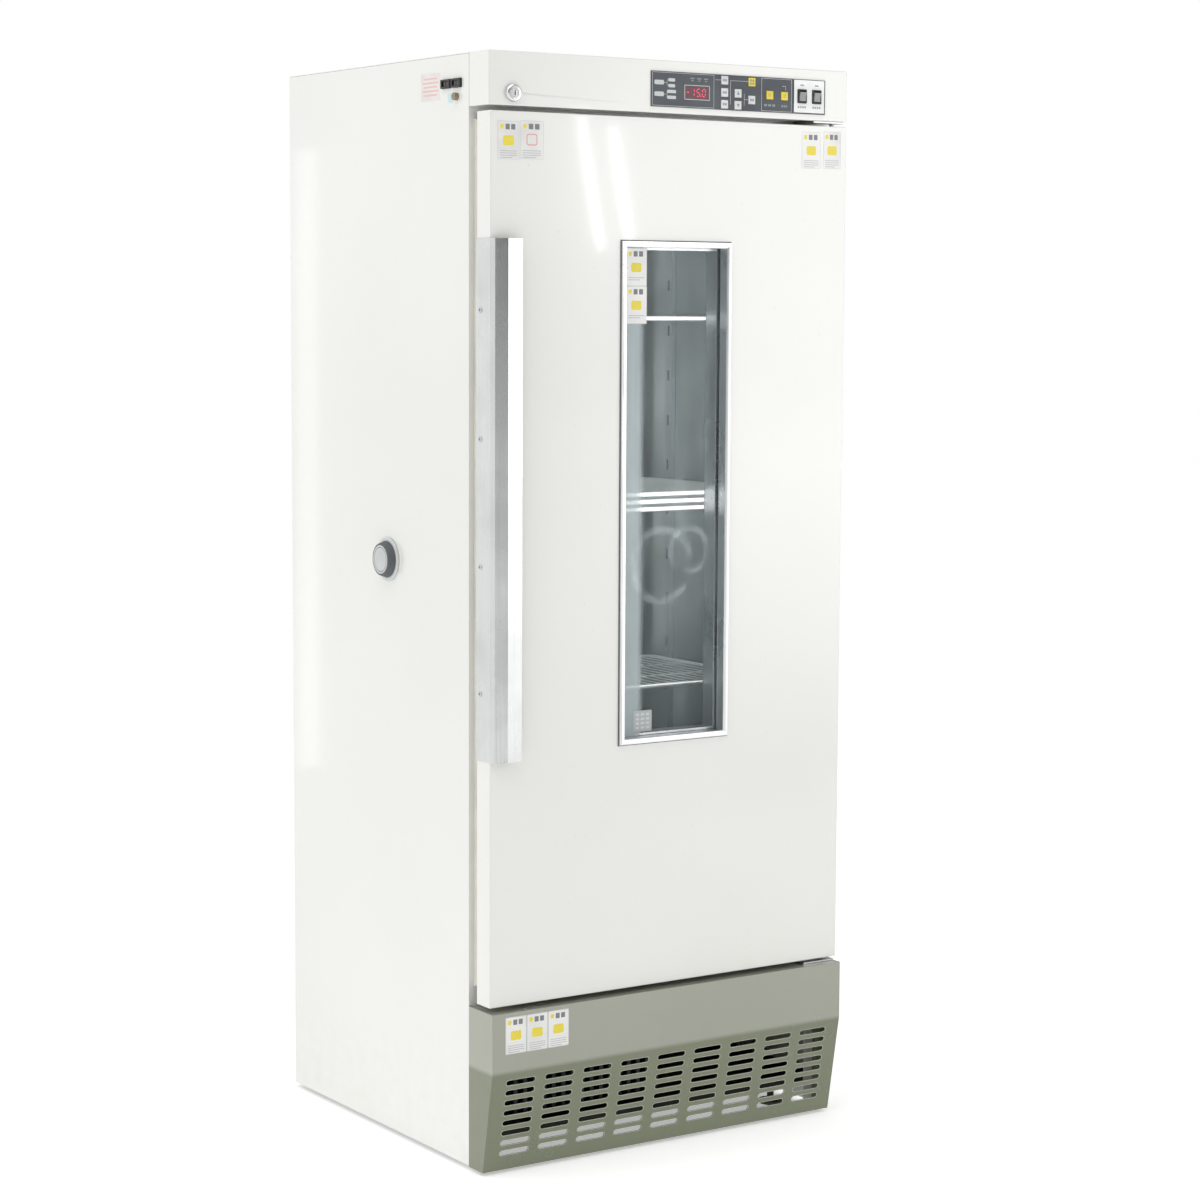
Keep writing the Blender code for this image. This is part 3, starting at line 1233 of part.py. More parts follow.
def side_fittings():
    outer = LEFT - GAP - PORT_FLANGE_THICKNESS
    inner = CHAMBER_LEFT
    profile = [
        (0.0, outer), (PORT_FLANGE_RADIUS, outer), (PORT_FLANGE_RADIUS, LEFT - GAP),
        (PORT_TUBE_RADIUS, LEFT - GAP), (PORT_TUBE_RADIUS, inner), (0.0, inner),
    ]
    centre = (0, PORT_Y, PORT_Z)
    half = PORT_COLLAR / 2
    flange = piece("port_flange", turned(profile, centre, "X", 32), WHITE_PLASTIC, smooth=True)
    join(flange, boxes((
        (LEFT + SHEET + GAP, PORT_Y - half, PORT_Z - half),
        (CHAMBER_LEFT - LINER - GAP, PORT_Y + half, PORT_Z + half),
    )))
    bore = [
        (0.0, outer - CUT), (PORT_BORE_RADIUS, outer - CUT),
        (PORT_BORE_RADIUS, inner + CUT), (0.0, inner + CUT),
    ]
    cut(flange, turned(bore, centre, "X", 32))
    face = outer - GAP - PLUG_HEAD
    axis = pivot("port_plug_slide", (outer - GAP, PORT_Y, PORT_Z))
    stem = PORT_BORE_RADIUS - PORT_CLEARANCE
    profile = [
        (0.0, face), (PLUG_FACE_RADIUS, face), (PLUG_HEAD_RADIUS, outer - GAP), (stem, outer - GAP),
        (stem * PLUG_STEM_TAPER, outer + PLUG_STEM), (0.0, outer + PLUG_STEM),
    ]
    piece("port_plug", turned(profile, centre, "X", 32), RUBBER, axis, smooth=True)

    ys = sorted(OUTLET_YS)
    back = LEFT + SHEET + GAP
    outlets = piece(
        "side_outlets",
        boxes((
            (back, ys[0] - OUTLET_LENGTH / 2, OUTLET_Z - OUTLET_HEIGHT / 2),
            (back + OUTLET_BASE, ys[-1] + OUTLET_LENGTH / 2, OUTLET_Z + OUTLET_HEIGHT / 2),
        )),
        BLACK_PLASTIC,
    )
    for y in ys:
        join(outlets, boxes((
            (LEFT - OUTLET_PROUD, y - OUTLET_LENGTH / 2, OUTLET_Z - OUTLET_HEIGHT / 2),
            (back + CUT, y + OUTLET_LENGTH / 2, OUTLET_Z + OUTLET_HEIGHT / 2),
        )))
    faces = []
    for y in ys:
        half = Vector((0, OUTLET_FACE_LENGTH / 2, OUTLET_FACE_HEIGHT / 2))
        low = Vector((LEFT - OUTLET_PROUD - CUT, y, OUTLET_Z)) - half
        high = Vector((LEFT - OUTLET_PROUD + OUTLET_FACE_DEPTH, y, OUTLET_Z)) + half
        faces.append((low, high))
    cut(outlets, boxes(*faces))

    shank = EARTH_RADIUS / 2
    profile = [
        (0.0, LEFT - EARTH_PROUD), (EARTH_RADIUS * 0.8, LEFT - EARTH_PROUD),
        (EARTH_RADIUS, LEFT - EARTH_PROUD * 0.85), (EARTH_RADIUS, LEFT - GAP),
        (shank, LEFT - GAP), (shank, back), (EARTH_RADIUS, back),
        (EARTH_RADIUS, back + EARTH_NUT), (0.0, back + EARTH_NUT),
    ]
    piece("earth_terminal", turned(profile, (0, EARTH_Y, EARTH_Z), "X", 16), BRASS, smooth=True)

    face = DEPTH + GAP
    inlet = piece(
        "power_inlet",
        boxes((
            (INLET_X - INLET_WIDTH / 2, face, INLET_Z - INLET_HEIGHT / 2),
            (INLET_X + INLET_WIDTH / 2, face + INLET_PROUD, INLET_Z + INLET_HEIGHT / 2),
        )),
        BLACK_PLASTIC,
    )
    behind = (face - INLET_DEPTH, face + INLET_PROUD / 2)
    join(inlet, boxes(window_in(INLET_X, INLET_Z, INLET_WIDTH, INLET_HEIGHT, -INLET_STEP, behind)))
    well = (face - INLET_DEPTH + INLET_WELL_FLOOR, face + INLET_PROUD + CUT)
    cut(inlet, boxes(window_in(INLET_X, INLET_Z, INLET_WELL_WIDTH, INLET_WELL_HEIGHT, 0.0, well)))


# Machine compartment

def refrigeration():
    floor = BASE_Z + SHEET + GAP
    radius = COMPRESSOR_RADIUS
    profile = [(share * radius, floor + rise) for share, rise in COMPRESSOR_SHELL]
    centre = (COMPRESSOR_X, COMPRESSOR_Y, 0)
    compressor = piece("compressor", turned(profile, centre, "Z", 24), BLACK_PAINT, smooth=True)
    half_x = radius * COMPRESSOR_PLATE[0]
    half_y = radius * COMPRESSOR_PLATE[1]
    plate_low = floor + COMPRESSOR_PLATE_Z[0]
    plate_high = floor + COMPRESSOR_PLATE_Z[1]
    join(compressor, boxes((
        (COMPRESSOR_X - half_x, COMPRESSOR_Y - half_y, plate_low),
        (COMPRESSOR_X + half_x, COMPRESSOR_Y + half_y, plate_high),
    )))
    foot_top = (plate_low + plate_high) / 2
    foot_radius = COMPRESSOR_FOOT_RADIUS
    foot = [(0.0, floor), (foot_radius, floor), (foot_radius, foot_top), (0.0, foot_top)]
    for side_x in (-1, 1):
        for side_y in (-1, 1):
            at = (COMPRESSOR_X + side_x * radius, COMPRESSOR_Y + side_y * radius * COMPRESSOR_FOOT_Y, 0)
            join(compressor, turned(foot, at, "Z", 12))

    left = CONDENSER_X - CONDENSER_WIDTH / 2
    fins = comb_outline(left, CONDENSER_WIDTH, CONDENSER_FINS)
    outline = [(x, CONDENSER_FRONT + (1 - depth) * CONDENSER_DEPTH) for x, depth in fins]
    block = piece("condenser", prism(outline, "Z", CONDENSER_BOTTOM, CONDENSER_TOP), ALUMINIUM)
    back = CONDENSER_FRONT + CONDENSER_DEPTH
    mouth = (CONDENSER_BOTTOM + CONDENSER_TOP) / 2
    shroud_x = COOLING_FAN_RADIUS + SHROUD_WALL
    shroud_back = back + SHROUD_DEPTH
    join(block, boxes((
        (CONDENSER_X - shroud_x, back - SHROUD_LAP, floor),
        (CONDENSER_X + shroud_x, shroud_back, CONDENSER_TOP),
    )))
    opening = COOLING_FAN_RADIUS + FAN_TIP_GAP
    ring_front = back - SHROUD_LAP / 2
    ring = [(0.0, ring_front), (opening, ring_front), (opening, shroud_back + CUT), (0.0, shroud_back + CUT)]
    cut(block, turned(ring, (CONDENSER_X, 0, mouth), "Y", 28))
    front = back + COOLING_FAN_GAP
    shaft_front = front + COOLING_FAN_THICKNESS - SHAFT_ENGAGEMENT
    motor_back = shroud_back + COOLING_MOTOR_DEPTH
    shaft = FAN_SHAFT_RADIUS
    motor = [
        (0.0, shaft_front), (shaft, shaft_front), (shaft, shroud_back), (COOLING_MOTOR_RADIUS, shroud_back),
        (COOLING_MOTOR_RADIUS, motor_back), (0.0, motor_back),
    ]
    join(block, turned(motor, (CONDENSER_X, 0, mouth), "Y", 20))
    join(block, boxes((
        (CONDENSER_X - shroud_x, shroud_back - STRUT_LAP, mouth - STRUT_HEIGHT / 2),
        (CONDENSER_X + shroud_x, shroud_back + STRUT_PROUD, mouth + STRUT_HEIGHT / 2),
    )))
    axis = pivot("condenser_fan_axis", (CONDENSER_X, front, mouth))
    fan("condenser_fan", axis, COOLING_FAN_RADIUS, front, COOLING_FAN_THICKNESS)


def build():
    cabinet_shell()
    feet()
    chamber()
    air_circulation()
    shelves()
    header()
    door_lock()
    hinges()
    door()
    lower_cover()
    side_fittings()
    refrigeration()


for old in list(bpy.data.objects):
    bpy.data.objects.remove(old, do_unlink=True)

CABINET = bpy.data.objects.new("floor_centre", None)
CABINET.location = (REACH_LEFT / 2, (REACH_FRONT - DEPTH - REACH_BACK) / 2, 0.0)
bpy.context.collection.objects.link(CABINET)

PAINT = look("white_paint", (0.84, 0.84, 0.80), 0.32)
TAUPE = look("taupe_paint", (0.34, 0.34, 0.29), 0.42)
STEEL = look("zinc_plated_steel", (0.62, 0.63, 0.64), 0.38, 1.0)
STAINLESS = look("stainless_steel", (0.58, 0.58, 0.57), 0.30, 1.0)
ALUMINIUM = look("satin_aluminium", (0.78, 0.79, 0.80), 0.34, 1.0)
CHROME = look("chrome", (0.80, 0.80, 0.81), 0.10, 1.0)
BRASS = look("earth_stud_brass", (0.72, 0.58, 0.30), 0.30, 1.0)
OVERLAY = look("charcoal_overlay", (0.066, 0.078, 0.094), 0.45)
BLACK_PLASTIC = look("black_plastic", (0.02, 0.02, 0.022), 0.40)
DARK_PLASTIC = look("dark_plastic", (0.05, 0.05, 0.055), 0.45)
WHITE_PLASTIC = look("white_plastic", (0.82, 0.83, 0.82), 0.40)
YELLOW_PLASTIC = look("yellow_plastic", (0.78, 0.60, 0.03), 0.40)
RUBBER = look("grey_rubber", (0.20, 0.20, 0.20), 0.75)
GLASS = look("window_glass", (0.80, 0.86, 0.84), 0.05)
FOAM = look("foam", (0.80, 0.74, 0.50), 0.90)
BLACK_PAINT = look("black_enamel", (0.03, 0.03, 0.03), 0.35)

build()
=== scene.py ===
import json
import math

import bmesh
import bpy
from mathutils import Matrix, Vector


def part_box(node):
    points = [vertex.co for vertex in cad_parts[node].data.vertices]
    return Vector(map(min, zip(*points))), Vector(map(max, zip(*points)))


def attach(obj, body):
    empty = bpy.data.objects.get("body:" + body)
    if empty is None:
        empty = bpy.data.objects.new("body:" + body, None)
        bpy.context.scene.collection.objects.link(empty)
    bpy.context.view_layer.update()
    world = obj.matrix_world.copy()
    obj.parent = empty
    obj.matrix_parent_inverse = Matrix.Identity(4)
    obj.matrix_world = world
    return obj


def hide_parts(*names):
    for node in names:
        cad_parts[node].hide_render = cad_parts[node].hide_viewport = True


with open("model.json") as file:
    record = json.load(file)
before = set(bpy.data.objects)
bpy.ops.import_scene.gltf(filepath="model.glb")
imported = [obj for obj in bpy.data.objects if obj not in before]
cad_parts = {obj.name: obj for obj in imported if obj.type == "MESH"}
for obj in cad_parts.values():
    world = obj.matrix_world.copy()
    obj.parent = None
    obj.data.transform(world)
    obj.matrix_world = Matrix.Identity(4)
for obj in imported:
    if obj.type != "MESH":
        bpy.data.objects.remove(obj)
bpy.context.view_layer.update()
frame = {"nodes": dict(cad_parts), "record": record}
rides_on = {n: body for body, nodes in frame["record"]["behaviour"]["bodies"].items() for n in nodes}


# Cabinet skin
# Two folded side panels, a top and a back of thin steel sheet, with a steel surround in front.
# All of it is sprayed with warm white stoving enamel, which flows into a faint orange peel and
# takes a soft radius at every fold.

class Channel:
    """A number or colour running through a graph. Arithmetic on it adds Math nodes."""

    def __init__(self, graph, socket):
        self.graph, self.socket = graph, socket

    def worked(self, operation, first, second):
        return self.graph.add("ShaderNodeMath", {"operation": operation}, {0: first, 1: second})

    def __add__(self, other):
        return self.worked("ADD", self, other)

    def __sub__(self, other):
        return self.worked("SUBTRACT", self, other)

    def __rsub__(self, other):
        return self.worked("SUBTRACT", other, self)

    def __mul__(self, other):
        return self.worked("MULTIPLY", self, other)

    __radd__ = __add__
    __rmul__ = __mul__


class Graph:
    """A node tree that grows one node at a time: kind, settings, then the sockets' values or links."""

    def __init__(self, tree):
        self.tree = tree

    def add(self, kind, settings=None, sockets=None, output=0):
        node = self.tree.nodes.new(kind)
        for name, value in (settings or {}).items():
            setattr(node, name, value)
        for name, value in (sockets or {}).items():
            self.feed(node.inputs[name], value)
        return Channel(self, node.outputs[output])

    def feed(self, socket, value):
        for one in value if isinstance(value, list) else [value]:
            if isinstance(one, Channel):
                self.tree.links.new(one.socket, socket)
            elif socket.type == "RGBA" and len(one) == 3:
                socket.default_value = (*one, 1.0)
            else:
                socket.default_value = one

    def rise(self, value, low, high):
        """0 below low, 1 above high, smooth between."""
        return self.add("ShaderNodeMapRange", {"interpolation_type": "SMOOTHSTEP"},
                        {0: value, 1: low, 2: high, 3: 0.0, 4: 1.0})


class Finish(Graph):
    """A material whose surface sockets take numbers, colours or channels."""

    def __init__(self, name, **surface):
        self.material = bpy.data.materials.new(name)
        self.material.use_nodes = True
        super().__init__(self.material.node_tree)
        self.shader = self.tree.nodes["Principled BSDF"]
        self.place = self.add("ShaderNodeTexCoord", output="Object")
        self.wear(**surface)

    def wear(self, **surface):
        for name, value in surface.items():
            self.feed(self.shader.inputs[name.replace("_", " ").title().replace("Ior", "IOR")], value)

    def noise(self, scale, detail=2.0, stretch=(1.0, 1.0, 1.0)):
        spot = self.add("ShaderNodeMapping", sockets={"Vector": self.place, "Scale": stretch})
        return self.add("ShaderNodeTexNoise", sockets={"Vector": spot, "Scale": scale, "Detail": detail})

    def blend(self, share, first, second):
        return self.add("ShaderNodeMix", {"data_type": "RGBA"}, {0: share, 6: first, 7: second}, output=2)

    def along(self, axis):
        return self.add("ShaderNodeSeparateXYZ", sockets={0: self.place}, output=axis)

    def relief(self, height, depth):
        self.wear(Normal=self.add("ShaderNodeBump", sockets={"Height": height, "Distance": depth}))

    def overlaid(self, share, colour):
        """Lay a colour over the one that the shader has so far."""
        so_far = Channel(self, self.shader.inputs["Base Color"].links[0].from_socket)
        self.wear(Base_Color=self.blend(share, so_far, colour))


def tone(colour, share):
    return tuple(share * c for c in colour)


def sprayed(name, colour, shadow, gloss, peel, grime=0.06):
    """Stoved paint: cloudy by a hair, dulled where it is wiped, with orange peel and dust low down."""
    paint = Finish(name, Coat_Weight=0.5, Coat_Roughness=0.05)
    cloud = paint.noise(1.7, 4.0)
    wiped = paint.rise(paint.noise(5.0, 6.0, (1.0, 1.0, 0.45)), 0.42, 0.7)
    dust = paint.rise(paint.along("Z"), 0.30, 0.0) * paint.rise(paint.noise(38.0, 5.0), 0.35, 0.75)
    speck = paint.rise(paint.noise(160.0, 1.0), 0.76, 0.80)
    toned = paint.blend(paint.rise(cloud, 0.3, 0.7), colour, shadow)
    dusty = paint.blend(dust * grime + speck * 0.12, toned, tone(colour, 0.42))
    paint.wear(Base_Color=dusty, Roughness=wiped * 0.06 + dust * grime + gloss)
    paint.relief(paint.noise(330.0, 1.5), peel)
    return paint


enamel = sprayed("white_enamel", (0.815, 0.815, 0.782), (0.790, 0.790, 0.750), 0.17, 0.000022)


def dress(finish, *nodes):
    """Give CAD nodes a finish in place of the plain one they came with."""
    for node in nodes:
        slots = frame["nodes"][node].data.materials
        slots.clear()
        slots.append(finish.material)


def welded(node):
    """A CAD node's loose triangles as one skin with whole flat faces."""
    source = frame["nodes"][node].data
    mesh = bmesh.new()
    corners = [mesh.verts.new(v.co) for v in source.vertices]
    for face in source.polygons:
        mesh.faces.new([corners[i] for i in face.vertices])
    bmesh.ops.remove_doubles(mesh, verts=mesh.verts, dist=1e-5)
    bmesh.ops.dissolve_limit(mesh, angle_limit=0.02, verts=mesh.verts, edges=mesh.edges)
    return mesh


def finished(name, mesh, finish, body, nodes=(), sharp=0.7):
    """Make a mesh a piece on its body in place of its CAD nodes. Edges sharper than sharp stay crisp."""
    if isinstance(mesh, bmesh.types.BMesh):
        for face in mesh.faces:
            face.smooth = True
        for edge in mesh.edges:
            edge.smooth = edge.calc_face_angle(0.0) < sharp
        plain = bpy.data.meshes.new(name)
        mesh.to_mesh(plain)
        mesh.free()
        mesh = plain
    mesh.materials.clear()
    mesh.materials.append(finish.material)
    piece = bpy.data.objects.new(name, mesh)
    bpy.context.scene.collection.objects.link(piece)
    weighted = piece.modifiers.new("Even shading", "WEIGHTED_NORMAL")
    weighted.keep_sharp = True
    flat = bpy.data.meshes.new_from_object(piece.evaluated_get(bpy.context.evaluated_depsgraph_get()))
    piece.modifiers.clear()
    piece.data = flat
    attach(piece, body)
    if nodes:
        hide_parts(*nodes)
    return piece


def eased(node, finish, corner=0.0, edge=0.0004, sharp=0.7):
    """Stand a copy of a CAD node in for it: corner rounds the edges of its box, edge all the other ones."""
    low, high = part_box(node)
    mesh = welded(node)

    def sides(point):
        return {(i, e) for i in range(3) for e in (0, 1) if abs(point[i] - (low, high)[e][i]) < 1e-4}

    for size, outer in ((corner, True), (edge, False)):
        if size == 0.0:
            continue
        chosen = []
        for line in mesh.edges:
            if len(line.link_faces) != 2 or line.calc_face_angle_signed(0.0) < 0.7:
                continue
            on_box = len(sides(line.verts[0].co) & sides(line.verts[1].co)) > 1
            if not outer or on_box:
                chosen.append(line)
        bmesh.ops.bevel(mesh, geom=chosen, offset=size, segments=3, profile=0.5, affect="EDGES",
                        clamp_overlap=True)
    return finished(f"{node}_skin", mesh, finish, rides_on[node], (node,), sharp)


for panel in ("side_panel_left", "side_panel_right", "top_panel"):
    eased(panel, enamel, edge=0.0006)
dress(enamel, "front_frame")
eased("back_panel", enamel, edge=0.0003)

side_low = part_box("side_panel_left")[0]
middle = (side_low.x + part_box("side_panel_right")[1].x) / 2
sheet_edge = side_low.y


# Screws of the back and the duct cover
# Zinc-plated pan-head screws with a cross recess, driven in rows along the edges of a panel.
# One row is a pattern of its ends, its number of screws and the size of a head.

class Pattern(Graph):
    """A Geometry Nodes tree with named sizes, run once into a plain mesh."""

    kinds = {int: "NodeSocketInt", float: "NodeSocketFloat", tuple: "NodeSocketVector"}

    def __init__(self, name):
        super().__init__(bpy.data.node_groups.new(name, "GeometryNodeTree"))
        self.tree.interface.new_socket("Geometry", in_out="OUTPUT", socket_type="NodeSocketGeometry")
        self.entry = self.tree.nodes.new("NodeGroupInput")
        self.values = {}

    def size(self, label, value):
        kind = "NodeSocketMaterial" if isinstance(value, Finish) else self.kinds[type(value)]
        item = self.tree.interface.new_socket(label, in_out="INPUT", socket_type=kind)
        self.values[item.identifier] = value.material if isinstance(value, Finish) else value
        return Channel(self, self.entry.outputs[label])

    def tube(self, curve, radius, sides):
        return self.add("GeometryNodeCurveToMesh", sockets={
            "Curve": curve, "Profile Curve": self.circle(radius, sides), "Fill Caps": True})

    def circle(self, radius, sides):
        return self.add("GeometryNodeCurvePrimitiveCircle", sockets={"Resolution": sides, "Radius": radius})

    def spot(self, x=0.0, y=0.0, z=0.0):
        return self.add("ShaderNodeCombineXYZ", sockets={0: x, 1: y, 2: z})

    def line(self, start, end):
        return self.add("GeometryNodeCurvePrimitiveLine", sockets={"Start": start, "End": end})

    def oblong(self, width, height, corner, **limits):
        """A closed rectangular line with round corners."""
        sides = self.add("GeometryNodeCurvePrimitiveQuadrilateral", sockets={
            "Width": width, "Height": height})
        return self.add("GeometryNodeFilletCurve", {"mode": "POLY"},
                        {"Curve": sides, "Count": 6, "Radius": corner, **limits})

    def instances(self, points, shape, **turned):
        return self.add("GeometryNodeInstanceOnPoints", sockets={
            "Points": points, "Instance": shape, **turned})

    def seats(self, count, first, last):
        """Evenly spaced points from first to last."""
        return self.add("GeometryNodeMeshLine", {"mode": "END_POINTS"}, {
            "Count": count, "Start Location": first, "Offset": last})

    def raised(self, shape, height):
        return self.add("GeometryNodeTransform", sockets={
            "Geometry": shape, "Translation": self.spot(z=height)})

    def coloured(self, shape, material):
        return self.add("GeometryNodeSetMaterial", sockets={"Geometry": shape, "Material": material})

    def joined(self, *shapes):
        return self.add("GeometryNodeJoinGeometry", sockets={"Geometry": list(reversed(shapes))})

    def run(self, shapes):
        exit_node = self.tree.nodes.new("NodeGroupOutput")
        solid = self.add("GeometryNodeRealizeInstances", sockets={0: shapes})
        self.feed(exit_node.inputs["Geometry"], solid)
        carrier = bpy.data.objects.new(self.tree.name, bpy.data.meshes.new(self.tree.name))
        bpy.context.scene.collection.objects.link(carrier)
        modifier = carrier.modifiers.new(self.tree.name, "NODES")
        modifier.node_group = self.tree
        for identifier, value in self.values.items():
            modifier[identifier] = value
        mesh = bpy.data.meshes.new_from_object(carrier.evaluated_get(bpy.context.evaluated_depsgraph_get()))
        carrier.modifiers.clear()
        bpy.data.objects.remove(carrier)
        return mesh


def placed_mesh(name, mesh, body, matrix=Matrix.Identity(4)):
    """A pattern's plain mesh as a piece on its body."""
    mesh.transform(matrix)
    piece = bpy.data.objects.new(name, mesh)
    bpy.context.scene.collection.objects.link(piece)
    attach(piece, body)
    return piece


def metal(name, colour, shade, roughness, grain, streak, depth):
    """Bare metal: a rolled or brushed grain, cloudy handling marks, and roughness that follows both."""
    sheet = Finish(name, Metallic=1.0)
    lines = sheet.noise(streak, 3.0, grain)
    cloud = sheet.rise(sheet.noise(9.0, 5.0), 0.35, 0.75)
    sheet.wear(Base_Color=sheet.blend(lines * 0.6 + cloud * 0.4, colour, shade),
               Roughness=lines * 0.12 + cloud * 0.12 + roughness)
    sheet.relief(lines, depth)
    return sheet


zinc = metal("zinc_plate", (0.60, 0.61, 0.62), (0.46, 0.47, 0.47), 0.26, (1, 1, 1), 90.0, 0.00002)
pit = Finish("recess_shadow", Base_Color=(0.02, 0.02, 0.02), Roughness=0.7)
pit.relief(pit.noise(900.0), 0.00002)


def screw_row(name, start, end, count, radius, turn, body):
    """Pan heads from start to end. A head is a skirt under a crown, whose cross recess is two dark arms."""
    row = Pattern(name)
    heads = row.size("Head Radius", radius)
    seats = row.seats(row.size("Screws", count), row.size("First", start), row.size("Last", end))
    waist, skirt_height, arm_long, arm_wide = heads * 0.96, heads * 0.22, heads * 0.85, heads * 0.2
    skirt = row.add("GeometryNodeMeshCone", sockets={
        "Vertices": 20, "Radius Top": waist, "Radius Bottom": heads, "Depth": skirt_height})
    crown = row.add("GeometryNodeMeshCone", sockets={
        "Vertices": 20, "Radius Top": heads * 0.55, "Radius Bottom": waist, "Depth": heads * 0.24})
    arms = []
    for x, y in ((arm_long, arm_wide), (arm_wide, arm_long)):
        arm = row.add("GeometryNodeMeshCube", sockets={"Size": row.spot(x, y, heads * 0.06)})
        arms.append(row.raised(arm, heads * 0.445))
    head = row.joined(
        row.coloured(row.joined(skirt, row.raised(crown, skirt_height)), row.size("Plating", zinc)),
        row.coloured(row.joined(*arms), row.size("Recess", pit)))
    placed_mesh(name, row.run(row.instances(seats, head, Rotation=turn)), body)


back_low, back_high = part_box("back_panel")
quarter_turn = math.pi / 2
screw_seat = 0.0002
rim_width = 0.012
for side, x in (("left", back_low.x + rim_width), ("right", back_high.x - rim_width)):
    screw_row(f"back_screws_{side}", (x, back_high.y - screw_seat, back_low.z + 0.05),
              (x, back_high.y - screw_seat, back_high.z - 0.03), 7, 0.0038, (-quarter_turn, 0.0, 0.0),
              "cabinet")


# Base tray and screw feet
# The cabinet stands on four screw feet with broad rubber pads, set under a folded steel tray
# that carries the machinery. The tray is coloured near black: painted shade for the dark inside of the bay.

# Painted shade: the tray's sheet is near black, standing in for the shade inside the machine bay seen through
# the slots.
tray_painted_shade = metal("galvanised_sheet", (0.075, 0.078, 0.070), (0.04, 0.04, 0.038),
                   0.5, (1, 1, 1), 46.0, 0.00003)
dress(tray_painted_shade, "base_tray")


def mottled(name, roughness, patches, first, second, grain, depth, **surface):
    """A surface that wanders between two colours; patches and grain are a noise's scale and detail."""
    plain = Finish(name, Roughness=roughness, **surface)
    plain.wear(Base_Color=plain.blend(plain.noise(*patches), first, second))
    plain.relief(plain.noise(*grain), depth)
    return plain


foot_rubber = mottled("foot_rubber", 0.8, (70.0, 4.0), (0.035, 0.035, 0.035), (0.09, 0.088, 0.082),
                      (600.0, 3.0), 0.00008)
for foot in ("foot_front_left", "foot_front_right", "foot_back_left", "foot_back_right"):
    eased(foot, foot_rubber, edge=0.0006)


# Chamber
# A folded stainless liner, with a duct cover screwed over the fan and the cooler at its back, and
# foam poured round it. The sheet is brushed upright, and wiping has left cloudy marks in the grain.

brushed = metal("brushed_stainless", (0.50, 0.53, 0.52), (0.33, 0.36, 0.36),
                0.24, (1.0, 1.0, 0.02), 420.0, 0.00001)
bands = brushed.rise(brushed.noise(7.0, 3.0, (1.0, 1.0, 0.10)), 0.38, 0.66)
brushed.overlaid(bands * 0.6, (0.24, 0.27, 0.29))
dress(brushed, "chamber_liner", "evaporator", "chamber_fan_motor")
eased("air_duct_cover", brushed, edge=0.0004)
duct_low, duct_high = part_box("air_duct_cover")
flange_middle, flange_end = 0.014, 0.03
for side, x in (("left", duct_low.x + flange_middle), ("right", duct_high.x - flange_middle)):
    screw_row(f"duct_screws_{side}", (x, duct_low.y - screw_seat, duct_low.z + flange_end),
              (x, duct_low.y - screw_seat, duct_high.z - flange_end), 6, 0.0042, (quarter_turn, 0.0, 0.0),
              "cabinet")
black_blades = mottled("black_blades", 0.45, (30.0, 4.0), (0.02, 0.02, 0.02), (0.06, 0.06, 0.058),
                       (500.0,), 0.00003)
dress(black_blades, "chamber_fan")
foam = mottled("poured_foam", 0.95, (60.0, 5.0), (0.78, 0.68, 0.36), (0.62, 0.50, 0.22),
               (260.0, 4.0), 0.0006)
dress(foam, "insulation")


# Fan guard
# Rings of bright wire on four spokes, welded together and fixed over the fan's opening in the
# duct cover, a little in front of the sheet.

guard_radius, guard_gap, hub = 0.064, 0.0042, 0.28
fan_low, fan_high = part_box("chamber_fan")
fan_z = (fan_low.z + fan_high.z) / 2
wire_steel = metal("bright_wire", (0.95, 0.96, 0.95), (0.82, 0.85, 0.84), 0.34, (1, 1, 1), 120.0, 0.00001)
guard = Pattern("fan_guard")
wire = guard.size("Wire Radius", 0.0011)
widest = guard.size("Guard Radius", guard_radius)
guard_rings = [guard.tube(guard.circle(widest * share, 48), wire, 8)
               for share in (hub, 0.46, 0.64, 0.82, 1.0)]
spoke = guard.line(guard.spot(widest * hub, z=-0.002), guard.spot(widest * 1.06, z=-0.002))
spokes = guard.add("GeometryNodeMeshCircle", sockets={"Vertices": 4, "Radius": 0.0})
turns = guard.add("FunctionNodeAxisAngleToRotation", sockets={
    "Axis": (0.0, 0.0, 1.0), "Angle": guard.add("GeometryNodeInputIndex") * quarter_turn + quarter_turn / 2})
spokes = guard.instances(spokes, guard.tube(spoke, wire, 8), Rotation=turns)
shape = guard.coloured(guard.joined(*guard_rings, spokes), guard.size("Wire", wire_steel))
before_fan = Matrix.Translation((middle, duct_low.y - guard_gap, fan_z))
placed_mesh("fan_guard", guard.run(shape), "cabinet",
            before_fan @ Matrix.Rotation(quarter_turn, 4, "X"))


# Shelf ladders and shelves
# Pierced uprights with rails on both walls of the chamber carry wire shelves: a rim of round
# rod with two cross rods under it, and thin wires laid front to back and welded on.

for ladder in ("shelf_ladder_left", "shelf_ladder_right"):
    eased(ladder, brushed, edge=0.0003)


def rounded(mesh):
    for face in mesh.polygons:
        face.use_smooth = True
    return mesh


